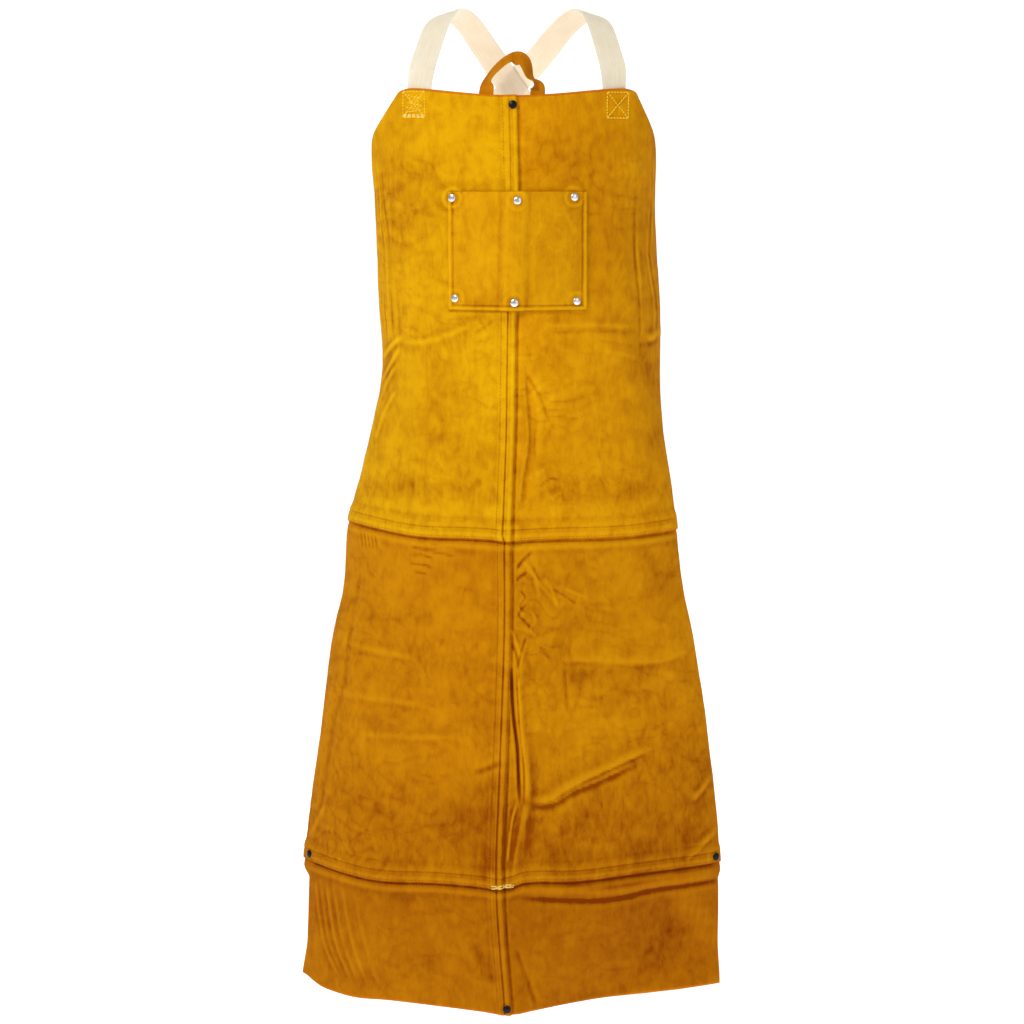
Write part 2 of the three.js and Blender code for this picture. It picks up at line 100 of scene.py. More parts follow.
# Horizontal sections of the draped hide, as in the part's source
SECTION_NAMES = ("z", "left", "seam", "right", "front", "roof_left", "roof_right", "curl_left", "curl_right")
SECTIONS = np.array([
    (-60, -165, 0, 167, -91, 12, 12, 62, 62),
    (-143, -164, 3, 168, -103, 14, 14, 74, 74),
    (-230, -159.5, 4, 167, -110, 18, 18, 84, 84),
    (-330, -157, 1, 173, -112, 24, 22, 88, 86),
    (-407, -153.5, 0, 175, -111, 34, 28, 82, 78),
    (-480, -164.5, -1, 179, -110, 46, 38, 76, 62),
    (-607, -197.5, -5, 196, -112, 60, 50, 76, 40),
    (-680, -204, -5, 205, -113, 55, 51, 77, 40),
    (-740, -216.5, -6, 218, -115, 48, 52, 80, 40),
    (-880, -235, -11, 239, -117, 30, 56, 86, 36),
    (-1022, -254, -15, 253, -118, 20, 58, 88, 34),
    (-1173, -258, -5, 255, -125, 50, 88, 50, 6),
], dtype=float)
COLUMN = dict(zip(SECTION_NAMES, SECTIONS.T))
RIDGE = 0.1
WRAP = math.radians(72)
SINE_LIMIT = 0.999  # keeps the curl defined just past the cut edge

# Folds: width below or left of the line, width above or right of it, height, and the line's points in x and z
FOLDS = [
    # Hollow beside the bib's seam
    (3, 6, -2.6, (17, -400), (18, -430), (22, -490), (15, -536), (12, -575)),
    # Left waist, and the bead along its edge
    (1.7, 2.4, 1.6, (-157, -412), (-141, -388), (-126, -374)),
    (1.8, 2.5, 1.5, (-161, -442), (-141, -408), (-130, -386)),
    (2, 2.8, 1.4, (-163, -474), (-151, -440), (-134, -407)),
    (2, 2.8, 1.1, (-164, -508), (-150, -468), (-134, -436)),
    (3, 3, 1.2, (-157, -448), (-161, -471), (-171, -520)),
    # Arched crease with two wrinkles at its end
    (3.4, 2.6, 0.6, (-134, -382), (-100, -379), (-68, -368), (-36, -352)),
    (1.8, 1.8, -0.5, (-44, -369), (-31, -360), (-19, -351)),
    (1.8, 1.8, -0.4, (-38, -350), (-27, -367)),
    # Bulge over the bib seam and the hollows over it
    (13, 16, 1.6, (-230, -580), (0, -578), (230, -582)),
    (16, 18, -1.0, (-215, -556), (-105, -550), (-5, -548)),
    (16, 18, -0.6, (10, -550), (100, -550), (215, -556)),
    # Tug of the strap
    (3.5, 5, 1.3, (156, -381), (184, -369)),
    (3.5, 3.5, -0.3, (144, -386), (178, -384)),
    # Right chest, under the pocket
    (2, 3, 0.35, (30, -360), (90, -359), (150, -365)),
    (2, 2, -0.3, (34, -367), (92, -366), (146, -371)),
    (2.2, 2.2, -0.25, (94, -376), (120, -382), (147, -389)),
    (2.6, 2.6, 0.25, (98, -388), (125, -394), (150, -402)),
    # Wrinkles beside the bib's seam
    (2.2, 2.6, -0.8, (16, -412), (32, -442), (42, -470)),
    (2, 2, 0.5, (22, -438), (42, -422)),
    (2, 2, 0.5, (26, -458), (49, -439)),
    # Tuck: slit, lip, far groove, foot, hollow, small foot
    (2.6, 1.8, -6, (-1, -748), (0, -772), (2, -813), (7, -858), (9, -924)),
    (1.6, 6, 2.7, (6, -742), (8, -785), (11, -836), (16, -882), (16, -928)),
    (2.2, 4, -0.5, (11, -775), (16.5, -836), (20.5, -882), (22, -920)),
    (3.2, 5.5, 2.3, (16, -914), (10, -952), (4, -986), (0, -1020)),
    (5, 14, -0.3, (21, -928), (18, -970), (10, -1008)),
    (1.8, 1.8, 1.7, (6, -914), (-1, -945), (-6, -994)),
    # Crease from the tuck and its groove
    (2.2, 9, 1.6, (14, -915), (41, -917), (64, -905), (88, -894), (121, -882), (172, -863)),
    (5, 1.8, -1.2, (15, -922), (35, -925), (53, -922), (76, -910), (101, -902), (156, -881)),
    # Soft crease and its hollow
    (3.4, 12, 1.0, (46, -750), (92, -752), (131, -758), (180, -760), (228, -750)),
    (14, 6, -0.4, (50, -765), (130, -770), (215, -766)),
    # Diamond over the tuck
    (1.6, 2, -1.0, (18, -678), (8, -693), (14, -702), (25, -714)),
    (1.6, 2, -1.1, (-2, -724), (6, -747), (7, -776)),
    (2, 1.6, -1.2, (17, -718), (10, -741), (6, -760)),
    (2, 2, 0.9, (-2, -708), (6, -731), (11, -746)),
    # Top of the right skirt: fork, hooks, slants, zigzags
    (2, 3, 0.8, (10, -628), (27, -651), (52, -684)),
    (2, 2, 0.6, (26, -648), (32, -676)),
    (1.9, 2.1, -1.5, (5, -641), (12, -631), (25, -619)),
    (1.8, 1.8, -1.3, (4, -654), (11, -648), (18, -644)),
    (1.4, 1.8, -0.7, (22, -634), (30, -652), (40, -668)),
    (1.4, 1.8, 0.7, (36, -650), (46, -668), (53, -690)),
    (1.4, 1.8, -0.6, (44, -664), (60, -674), (78, -688)),
    (1.4, 1.8, 0.6, (58, -664), (72, -672), (86, -678)),
    (1.2, 1.5, -0.8, (8, -664), (15, -674), (9, -684), (17, -694)),
    (1.2, 1.5, 0.7, (19, -688), (27, -700), (21, -712), (30, -722)),
    # Ticks at the foot of the bib
    (1.2, 1.4, 0.6, (26, -532), (38, -524)),
    (1.2, 1.4, -0.6, (30, -546), (45, -536), (56, -540)),
    (1.2, 1.4, 0.6, (44, -560), (58, -552)),
    # Right skirt: two ticks, two folds at the edge
    (1.8, 2.4, -0.5, (60, -756), (65, -818)),
    (1.8, 1.8, -0.5, (31, -732), (46, -750)),
    (3, 4, 1.2, (216, -938), (248, -904)),
    (3, 5, 1.4, (206, -1010), (232, -991), (258, -970)),
    # Left skirt: groove along the edge, three creases
    (4, 4, -1.1, (-179, -630), (-197, -754), (-201, -793), (-216, -850), (-231, -941), (-241, -1010)),
    (3, 5, 0.6, (-210, -748), (-157, -751), (-106, -754)),
    (3, 5, 0.5, (-212, -807), (-157, -807), (-98, -807)),
    (3, 5, 0.5, (-190, -853), (-127, -847), (-60, -842)),
    # Level wrinkles under the bib seam
    (1.2, 1.6, -0.8, (-120, -622), (-104, -624), (-86, -623)),
    (1.2, 1.6, -0.8, (-122, -632), (-106, -631), (-90, -634)),
    (1.2, 1.6, -0.9, (-122, -643), (-106, -642), (-92, -645)),
    (1.2, 1.6, -0.8, (-117, -651), (-98, -653)),
    (1.2, 1.6, -0.7, (-94, -628), (-80, -627), (-64, -629)),
    (1.2, 1.6, -0.6, (-100, -616), (-82, -618), (-62, -617)),
    # Left skirt: dent, fold at the edge, hollow along the seam
    (4, 4, -0.9, (-46, -885), (-26, -876), (-8, -868)),
    (3, 3, 1.3, (-226, -944), (-239, -974), (-253, -1004)),
    (4, 3, -0.9, (-15, -625), (-17, -760), (-21, -900), (-26, -1006)),
    # Hem: hollow and crease by the seam, roll, groove, corner
    (8, 8, -1.4, (-46, -1084), (-32, -1115), (-20, -1142)),
    (4, 2.5, -1.2, (3, -1090), (18, -1136), (30, -1172)),
    (5, 5, 1.5, (2, -1026), (56, -1030), (102, -1035), (139, -1036), (176, -1033), (280, -1031)),
    (4, 2.2, -1.5, (-4, -1032), (56, -1041), (102, -1046), (139, -1045), (176, -1041), (285, -1040)),
    (50, 50, -8, (30, -1240), (225, -1060)),
]
FOLD_TAPER = 0.2  # share of a fold's length over which it rises from nothing
FOLD_REACH = 3  # widths from its line at which a fold ends
FOLD_POINTS = 4  # points of the smooth curve for each point of the line

# First seed of each kind of random noise, and the size of its table
SEEDS = {"unevenness": 0, "crease": 20, "patch": 40, "sway": 60, "swell": 64, "warp_x": 80, "warp_z": 90}
NOISE_TABLE = 256

# Flutes along the bib's edges: distance inside the edge, width and height
FLUTES = {
    "left": (
        (3, 1.2, 0.7), (6, 1.1, -0.9), (9, 1.4, 0.7), (13.5, 1.5, -0.7), (18, 1.7, 0.6), (23, 1.8, -0.5),
    ),
    "right": (
        (3, 1.2, 0.7), (6.4, 1.2, -0.9), (10, 1.5, 0.8), (15, 1.6, -0.7), (21, 1.9, 0.6), (26, 2, -0.5),
    ),
}
FLUTE_TOP = -150
FLUTE_BOTTOM = -395
FLUTE_FADES = (90, 36)  # heights over which flutes fade at the top and at the bottom
FLUTE_SWAY = 4.5  # how far a flute wanders sideways
SWAY_NOISE = (40.0, 70)  # step in the noise from flute to flute, and its cell
SWELL_NOISE = (70.0, 75)
SWELL_MEAN = 0.6  # share of a flute's height, and how far it varies
SWELL_SWING = 1.1
SWELL_LEAST = 0.15

# Ripples that fan over the left hem panel, from the outermost to the innermost: share and height
HEM_RIPPLES = ((0, 0.8), (0.14, 0.5), (0.3, 0.9), (0.48, 0.5), (0.7, 0.65), (1, 0.35))
RIPPLE_OUTER = [(-240, -1030), (-235, -1075), (-227, -1117), (-206, -1160)]
RIPPLE_INNER = [(-190, -1036), (-184, -1071), (-174, -1113), (-158, -1163)]
RIPPLE_WIDTHS = (1.8, 2.6)

# Gathers under the bib seam on the left skirt panel
GATHERS_X = (-181, -176.5, -172, -167.5, -163)
GATHER_TOP = 9  # distance below the seam
GATHER_LENGTH = 19
GATHER_LEAN = 2
GATHER_FORM = (1.0, 1.0, -0.8)

# Slow unevenness of the hide: cell size and height
UNEVENNESS = ((62, 1.0), (26, 0.42), (10, 0.14))

# Creases that run at random through parts of the hide: cell width and height, depth, and cell of the patches
CREASES = ((34, 11, 0.22, 110), (15, 26, 0.16, 90), (11, 8, 0.12, 80))
CREASE_WIDTH = 0.17  # share of a cell
CREASE_WARP = 16  # how far creases are pulled out of line
WARP_CELL = 24
PATCH_FADE = 0.45  # noise from which a patch has all of its creases

# Crumpled places, and last a calm one over the pocket: middle x and z, reach sideways and up, and strength
CRUMPLES = (
    (45, -555, 55, 32, 0.9),
    (40, -455, 32, 36, 0.7),
    (30, -690, 34, 70, 0.8),
    (75, -675, 45, 30, 0.6),
    (60, -850, 60, 50, 0.3),
    (-200, -960, 50, 60, 0.6),
    (-150, -660, 60, 45, 0.6),
    (6, -274, 72, 60, -1.5),
)

# Soiled places, given in the same way; the narrow ones along the bib's side edges, at x -150, 165 and 180,
# are painted shade where the hide turns away from the light
SOIL_AND_EDGE_SHADE = (
    (140, -975, 150, 120, 0.85),
    (-130, -990, 170, 90, 0.45),
    (-30, -930, 60, 110, 0.25),
    (95, -220, 70, 130, 0.4),
    (-75, -505, 110, 75, 0.25),
    (90, -500, 100, 80, 0.12),
    (60, -160, 50, 40, 0.3),
    (-150, -330, 30, 130, 0.3),
    (165, -330, 30, 150, 0.35),
    (120, -1130, 160, 60, 0.12),
    (180, -470, 26, 120, 0.35),
)

# Painted highlight and rubbed wear on ridges, painted shade in grooves: reach in grid cells, height for the
# full effect, and share
WEAR_AND_SHADE = ((3, 0.7, 0.7), (9, 3, 0.3))

# Stitch rows: distances from the centre seam, below the bib and on it, and above a panel's lower edge
CENTRE_ROWS = ((-3.4, -5.2), (-11, -12.5))
CENTRE_GROOVES = ((1.25, 0.85), (0.3, 1.1))  # depth and width along each centre row
ROWS_SPREAD = 6  # distance from the bib seam within which the centre rows move apart
EDGE_ROWS = (2.4, 12.8)
GROOVE_WIDTH = 1.0
GROOVE_DEPTH = 0.35
CHEST_SHARE = 0.4  # how sharp the centre seam is on the chest
CHEST_TOP = -190
CHEST_FOOT = -340

# Rolls and hollows across the seams: height, middle and width
CENTRE_ROLL = (1.5, 0.4, 2.6)
CENTRE_HOLLOW = (-1.1, 6.2, 1.8)
CROSS_FORMS = ((1.5, 6, 3.8), (0.8, -9, 3.2), (-1.6, -2.4, 2.2), (-GROOVE_DEPTH, EDGE_ROWS[1], GROOVE_WIDTH))
ROLL_FADE = 8  # distance from the side edges over which rolls and folds die away
FADE_LEAST = 0.25  # share of them that is left at the edge

# Chest pocket
POCKET_LEFT = -71.5
POCKET_RIGHT = 84
POCKET_TOP = -207
POCKET_BOTTOM = -341
POCKET_GAP = 0.3
POCKET_BELLY = 2
POCKET_HEM = 5.5  # distance of the pocket's stitches from its edge
POCKET_BRIDGE = (1.5, 0.4, 9)  # the pocket's soft hump over the centre seam
POCKET_PILLOW = (1.1, POCKET_HEM / 3, 2)
POCKET_GROOVE = (-GROOVE_DEPTH, POCKET_HEM, GROOVE_WIDTH)

# Webbing straps: places sewn to the bib as x and z, free places from front to back, and places at the waist
STRAP_WIDTH = 32
STRAP_THICK = 1.8
STRAP_LIFT = -2.8
WAIST_LIFT = -3.7
STRAP_STEPS = 420
STRAPS = {
    "left": {
        "chest": ((-112.5, -124), (-110, -106), (-107, -88)),
        "path": (
            (-103, -55, -67), (-96, -41, -43), (-87, -21, -17), (-74, 2, -1), (-62, 24, -3),
            (-49, 46, -15), (-35, 73, -34), (-20, 94, -55), (-5, 106, -77), (24, 111, -120),
            (62, 111, -180), (100, 103, -243), (134, 84, -303), (160, 54, -354), (173, 22, -390),
        ),
        "waist": ((170, -412), (159, -430)),
    },
    "right": {
        "chest": ((123.5, -125), (121, -107), (118.5, -89)),
        "path": (
            (116, -52, -67), (110, -40, -43), (102, -20, -17), (91, 2, -2), (78, 24, -3),
            (59, 49, -18), (41, 76, -39), (22, 98, -60), (5, 109.5, -77), (-26, 114.5, -120),
            (-62, 112, -180), (-96, 103, -243), (-124, 84, -303), (-144, 54, -354), (-152, 24, -384),
        ),
        "waist": ((-149, -406), (-138, -424)),
    },
}

# Which way the left strap faces at its free places; the right one is its mirror image
STRAP_FACINGS = np.array([
    (-0.3, -0.9, 0.3), (-0.28, -0.8, 0.5), (-0.25, -0.6, 0.75), (-0.25, 0, 1), (-0.15, 0.4, 0.9),
    (0, 0.7, 0.7), (0, 0.85, 0.5), (0, 0.95, 0.35), (0, 1, 0.2), (0, 1, 0.05),
    (0.12, 1, 0), (0.3, 0.95, 0), (0.55, 0.85, 0), (0.8, 0.6, 0), (0.95, 0.2, 0),
])

# Hanging loop: sewn places, and free places with the way that the loop faces there
LOOP_WIDTH = 17
LOOP_THICK = 1.6
LOOP_LIFT = -1.9
LOOP_STEPS = 160
LOOP_LEFT = ((-30, -120), (-30, -102))
LOOP_RIGHT = ((29, -103), (29.5, -120))
LOOP_PATH = (
    ((-28.5, -88, -90), (-0.35, -0.93, 0.1)),
    ((-26.5, -88, -79.5), (-0.88, -0.42, 0.2)),
    ((-15, -89, -66), (-0.62, -0.5, 0.6)),
    ((-2, -90, -57), (-0.3, -0.6, 0.74)),
    ((7, -91, -57.5), (0.05, -0.95, 0.3)),
    ((13, -92.5, -60), (0.4, -0.85, 0.35)),
    ((16.5, -93, -66), (0.65, -0.75, 0.15)),
    ((19.5, -92, -74.5), (0.8, -0.55, 0.1)),
    ((25, -90, -82), (0.8, -0.2, 0.55)),
    ((29, -88.5, -90), (0.25, -1, 0.15)),
)
STRIP_ACROSS = 17  # points across a strip
STRIP_ROUND = 6  # power of the curve that rounds its selvedges

# Rivets: x and z, and height of the pucker round them
RIVETS = {
    "neck": (1, -110, 0.2),
    "pocket_upper_left": (-67, -214, 1.0),
    "pocket_upper_middle": (6, -217, 0.4),
    "pocket_upper_right": (69, -213, 0.7),
    "pocket_lower_left": (-64, -328, 0.4),
    "pocket_lower_middle": (2.5, -332, 0.4),
    "pocket_lower_right": (72.5, -331, 0.4),
    "seam_left": (-245, -1010, 0.2),
    "seam_right": (246, -1010, 0.2),
    "hem": (-6, -1168, 0.2),
}
PUCKER_RING = (10, 2.4)  # middle and width
RIVET_DENT = (-0.6, 0, 7)  # height, middle and width
RIVET_SIDES = 40
CAP_RADIUS = 4.7
CAP_RIM = 0.6
CAP_RISE = 1.8
CAP_TUCK = (0.35, 0.05)  # how far the rim turns in and down
CAP_LIP = 0.25
DOME_STEPS = 9
SHANK_RADIUS = 1.6
WASHER_RADIUS = 4
WASHER_THICK = 0.8
WASHER_BEVEL = 0.3
WASHER_DISH = 0.25
DISH_RADII = (1.2, 1.5)
RIVET_FRONT_CLEAR = 0.35
RIVET_BACK_CLEAR = 0.6

# Thread of one stitch, tapered and sunk in at both ends
THREAD_SIDES = 6
THREAD_TAPER = np.array([0.4, 0.95, 1, 0.95, 0.4])
THREAD_SINK = np.array([-1.1, 0.15, 0.45, 0.15, -1.1])
THREAD_CAP = np.array([[3, 2, 1, 0], [5, 4, 3, 0]])  # two faces that close a six-sided end
THREAD_SHARP = 80

# Stitches: thread radius, pitch and length
SEAM_STITCH = (0.32, 4.2, 3.0)
BOX_STITCH = (0.85, 3.4, 3.5)
LOOSE_STITCH = (0.8, 3.6, 3.7)
STRAP_BAR_STITCH = (0.7, 5, 5)
BAR_TACK_STITCH = (0.75, 8, 8.8)

# Stitched boxes over the straps' ends, and the loose rows of the left one, which is sewn over twice
BOX_WIDTH = 25
BOX_HEIGHT = 29
BOX_MIDDLES = {"left": (-112, -108), "right": (121, -109)}
BOX_CORNERS = ((-1, 1), (1, 1), (1, -1), (-1, -1))
LOOSE_LINES = (
    ((-123, -97), (-104, -101), (-119, -106), (-102, -110)),
    ((-121, -111), (-103, -115), (-122, -117)),
    ((-117, -96), (-115, -108), (-108, -98), (-105, -117)),
)

# Bars of pale thread: first line, number of lines, step down, and shift of every other line
STRAP_BAR = (((-125, -119.5), (-99, -120.5)), 3, 1.3, 0)
BAR_TACK = (((-25, -1018), (-1, -1016.5)), 4, 1.6, 4)

# Ends of the stitch rows: distance below the neck edge, from the centre seam and from the side edge
NECK_CLEAR = 4
CROSS_START = 8
CROSS_END = 4
CENTRE_POINTS = 300
CROSS_POINTS = 120

# Webbing weave: widths of a rib and a weft thread, and the weft's slant
RIB_WIDTH = 1.27
WEFT_WIDTH = 1.5
WEFT_SLANT = 0.8

# Colours as 8-bit sRGB
# The lower panels are darker and browner and the bib's right panel more orange: partly the hides' own tone,
# partly painted shade of the light falling off towards the hem and away from the left
HIDE_COLOURS = {
    "bib_left": (225, 163, 8),
    "bib_right": (224, 153, 8),
    "skirt_left": (204, 130, 7),
    "skirt_right": (208, 135, 7),
    "hem_left": (190, 115, 6),
    "hem_right": (188, 112, 6),
    "pocket": (222, 156, 10),
    "loop": (200, 124, 12),
}
CUT_EDGE_COLOUR = (212, 122, 12)
FLESH_COLOUR = (206, 150, 62)
WEBBING_COLOURS = ((211, 191, 162), (233, 219, 194), (247, 239, 224))
# The skirt's thread is a darker copy of the bib's, following the darker lower apron: partly painted shade
THREAD_COLOURS = {"bib": (190, 120, 8), "skirt": (172, 102, 6), "box": (248, 204, 52), "bar": (248, 220, 120)}
# The dark copy of the nickel is painted shade on the rivets away from the pocket
METALS = {"bright": ((240, 241, 244), 0.26), "shade_painted": ((44, 43, 46), 0.32)}  # colour and roughness

# Order of the materials on a piece of hide
FRONT_FACE = 0
CUT_FACE = 1
BACK_FACE = 2

# Studio in metres: a floor that rises behind into a backdrop, lights, and a camera level with the chest
FLOOR_Z = -1.42
FLOOR_HALF = 7
CURVE_START = 4.0
CURVE_RADIUS = 1.6
CURVE_STEPS = 24
BACKDROP_TOP = 4.5
WHITE = (1, 1, 1, 1)
FLOOR_WHITE = (0.93, 0.93, 0.93, 1)
FLOOR_GLOW = 0.55
APRON_MIDDLE = (0, -0.1, -0.45)
STRAP_CROSSING = (0, 0.1, -0.08)
NECK_CONE = {"spot_size": math.radians(68), "spot_blend": 0.6, "shadow_soft_size": 0.05, "energy": 1.8}
LIGHTS = {  # kind, place, target and settings
    "key": ("AREA", (-1.2, -1.7, 1.45), APRON_MIDDLE, {"shape": "SQUARE", "size": 0.7, "energy": 38}),
    "fill": ("AREA", (2.0, -2.4, 0.6), APRON_MIDDLE, {"shape": "SQUARE", "size": 2.0, "energy": 12}),
    "back": ("AREA", (0.6, 2.6, 1.4), APRON_MIDDLE, {"shape": "SQUARE", "size": 1.6, "energy": 24}),
    "neck": ("SPOT", (0, 0, -0.33), STRAP_CROSSING, NECK_CONE),
}
WORLD_LIGHT = 0.3  # strength of the white world as light, and as seen behind the floor
WORLD_SEEN = 0.86
CAMERA_PLACE = (0, -2.710, -0.1824)
CAMERA_AIM = (0, -0.110, -0.5737)
CAMERA_LENS = 79.9
CAMERA_SENSOR = 36


def smoothstep(value, low, high):
    t = np.clip((value - low) / (high - low), 0, 1)
    return t * t * (3 - 2 * t)


def lerp(a, b, t):
    return a + (b - a) * t


def unit(vectors):
    return vectors / np.linalg.norm(vectors, axis=-1, keepdims=True)


def bump(value, middle, width):
    return np.exp(-(((value - middle) / width) ** 2))


def swell(value, form):
    height, middle, width = form
    return height * bump(value, middle, width)


def evenly(start, end, step):
    return np.linspace(start, end, int(abs(end - start) / step) + 2)


# One section column at any height, on a smooth curve through the table
def section(name, z):
    z = np.asarray(z, dtype=float)
    heights = COLUMN["z"]
    values = COLUMN[name]
    rows = np.arange(len(heights))
    before = np.maximum(rows - 1, 0)
    after = np.minimum(rows + 1, rows[-1])
    slopes = (values[after] - values[before]) / (heights[after] - heights[before])
    k = np.clip(np.searchsorted(-heights, -z, side="left") - 1, 0, rows[-1] - 1)
    span = heights[k + 1] - heights[k]
    t = (z - heights[k]) / span
    start_pull = t * (1 - t) ** 2 * span * slopes[k]
    end_pull = t * t * (1 - t) * span * slopes[k + 1]
    return lerp(values[k], values[k + 1], t * t * (3 - 2 * t)) + start_pull - end_pull


# Depth of the draped hide's inner face behind a point of the front view
def drape_y(x, z):
    seam = section("seam", z)
    on_left = x < seam

    def half(name):
        return np.where(on_left, section(name + "left", z), section(name + "right", z))

    t = np.abs((x - seam) / (half("") - seam))
    ridge = (np.hypot(t, RIDGE) - RIDGE) / (math.hypot(1, RIDGE) - RIDGE)
    sine = np.minimum(t * math.sin(WRAP), SINE_LIMIT)
    turn = (1 - np.sqrt(1 - sine * sine)) / (1 - math.cos(WRAP))
    return section("front", z) + half("roof_") * ridge + half("curl_") * turn


# Outward direction of the draped hide
def hide_normal(x, z):
    step = SLOPE_STEP
    slope_x = (drape_y(x + step, z) - drape_y(x - step, z)) / (2 * step)
    slope_z = (drape_y(x, z + step) - drape_y(x, z - step)) / (2 * step)
    return unit(np.stack([slope_x, -np.ones_like(slope_x), slope_z], axis=-1))


# Points along a smooth curve through stations, as a uniform Catmull-Rom spline
def spline(stations, t):
    stations = np.asarray(stations, dtype=float)
    first = 2 * stations[0] - stations[1]
    last = 2 * stations[-1] - stations[-2]
    padded = np.vstack([first, stations, last])
    place = np.asarray(t) * (len(stations) - 1)
    k = np.minimum(place.astype(int), len(stations) - 2)
    s = (place - k)[:, None]
    a, b, c, d = (padded[k + shift] for shift in range(4))
    return b + 0.5 * s * ((c - a) + s * ((2 * a - 5 * b + 4 * c - d) + s * (3 * (b - c) + d - a)))


# Signed distance from a line and the share of its length at the nearest place
def line_field(x, z, points):
    away = np.full(x.shape, np.inf)
    side = np.zeros(x.shape)
    along = np.zeros(x.shape)
    run = 0
    for (ax, az), (bx, bz) in zip(points, points[1:]):
        dx, dz = bx - ax, bz - az
        length = math.hypot(dx, dz)
        t = np.clip(((x - ax) * dx + (z - az) * dz) / length ** 2, 0, 1)
        distance = np.hypot(x - ax - t * dx, z - az - t * dz)
        nearer = distance < away
        away = np.where(nearer, distance, away)
        side = np.where(nearer, np.sign(dx * (z - az) - dz * (x - ax)), side)
        along = np.where(nearer, run + t * length, along)
        run += length
    return away * side, along / run


# Adds one fold to a field of heights, only where it reaches
def add_fold(heights, x, z, low_width, high_width, height, points):
    line = spline(points, np.linspace(0, 1, FOLD_POINTS * len(points)))
    reach = FOLD_REACH * max(low_width, high_width)
    (left, low), (right, high) = line.min(axis=0) - reach, line.max(axis=0) + reach
    near = (x > left) & (x < right) & (z > low) & (z < high)
    if not near.any():
        return
    signed, along = line_field(x[near], z[near], line)
    width = np.where(signed < 0, low_width, high_width)
    taper = smoothstep(along, 0, FOLD_TAPER) * smoothstep(1 - along, 0, FOLD_TAPER)
    heights[near] += height * taper * bump(signed, 0, width)


# Smooth random heights between -1 and 1 on a lattice
def lattice_noise(x, z, cell, seed):
    size = NOISE_TABLE
    table = np.random.default_rng(seed).uniform(-1, 1, (size, size))
    i, j = np.floor(x / cell).astype(int), np.floor(z / cell).astype(int)
    s, t = smoothstep(x / cell - i, 0, 1), smoothstep(z / cell - j, 0, 1)
    low = lerp(table[i % size, j % size], table[(i + 1) % size, j % size], s)
    high = lerp(table[i % size, (j + 1) % size], table[(i + 1) % size, (j + 1) % size], s)
    return lerp(low, high, t)


# Sum of soft-edged patches
def patches(x, z, places):
    total = np.zeros(x.shape)
    for middle_x, middle_z, reach_x, reach_z, strength in places:
        total += strength * bump(x, middle_x, reach_x) * bump(z, middle_z, reach_z)
    return total


# Thin creases along the zero lines of stretched noise, in patches
def crease_relief(x, z):
    heights = np.zeros(x.shape)
    crumple = patches(x, z, CRUMPLES)
    for k, (cell_x, cell_z, depth, patch) in enumerate(CREASES):
        bent_x = x + CREASE_WARP * lattice_noise(x, z, WARP_CELL, SEEDS["warp_x"] + k)
        bent_z = z + CREASE_WARP * lattice_noise(x, z, WARP_CELL, SEEDS["warp_z"] + k)
        line = lattice_noise(bent_x, bent_z * cell_x / cell_z, cell_x, SEEDS["crease"] + k)
        here = smoothstep(lattice_noise(x, z, patch, SEEDS["patch"] + k), 0, PATCH_FADE)
        heights -= depth * np.maximum(here + crumple, 0) * bump(line, 0, CREASE_WIDTH)
    return heights


# Upright flutes that follow the bib's side edges, each with a sway and a swell of its own
def flute_relief(x, z):
    from_top = smoothstep(FLUTE_TOP - z, 0, FLUTE_FADES[0])
    fade = from_top * smoothstep(z - FLUTE_BOTTOM, 0, FLUTE_FADES[1])
    heights = np.zeros(x.shape)

    def flute_noise(k, form, seed):
        step, cell = form
        return lattice_noise(np.full(x.shape, step * k), z, cell, seed)

    for number, (side, flutes) in enumerate(FLUTES.items()):
        inset = cut_half(side, "bib", z) - SIDES[side]["sign"] * (x - section("seam", z))
        for k, (place, width, height) in enumerate(flutes):
            sway = FLUTE_SWAY * flute_noise(k, SWAY_NOISE, SEEDS["sway"] + number)
            swing = SWELL_SWING * flute_noise(k, SWELL_NOISE, SEEDS["swell"] + number)
            share = np.clip(SWELL_MEAN + swing, SWELL_LEAST, 1)
            heights += height * fade * share * bump(inset, place + sway, width)
    return heights


# Half-width of the panels' top corner on the side of a signed distance from the seam
def corner_half(offset):
    return np.where(offset < 0, SIDES["left"]["corner_half"], SIDES["right"]["corner_half"])


# Distance from the centre seam as it would be at the top corners' width, negative to the left
def nominal_offset(x, z):
    offset = x - section("seam", z)
    left = np.abs(section("left", z) - section("seam", z))
    right = np.abs(section("right", z) - section("seam", z))
    half = np.where(offset < 0, left, right)
    away = np.abs(offset)
    far = lerp(FINE_REACH, corner_half(offset), (away - FINE_REACH) / (half - FINE_REACH))
    return np.sign(offset) * np.where(away < FINE_REACH, away, far)


# Height of a seam or hem at such a distance
def edge_z(edge, nominal):
    return edge + sum(rise * bump(nominal, place, reach) for place, reach, rise in SEAM_WAVES[edge])


# Share of a roll or fold that is left near the side edges
def edge_fade(nominal):
    return lerp(FADE_LEAST, 1, smoothstep(corner_half(nominal) - np.abs(nominal), 0, ROLL_FADE))


# Distances of both stitch rows from the centre seam, wider apart on the bib
def centre_rows(z):
    on_bib = smoothstep(z, BIB_SEAM_Z - ROWS_SPREAD, BIB_SEAM_Z + ROWS_SPREAD)
    return [lerp(below, bib, on_bib) for below, bib in CENTRE_ROWS]


# The four sides and both diagonals of a strap's stitched box on the bib
def box_lines(side):
    middle_x, middle_z = BOX_MIDDLES[side]
    corners = [(middle_x + sx * BOX_WIDTH / 2, middle_z + sz * BOX_HEIGHT / 2) for sx, sz in BOX_CORNERS]
    sides = [[corners[k], corners[(k + 1) % 4]] for k in range(4)]
    return sides + [[corners[0], corners[2]], [corners[1], corners[3]]]


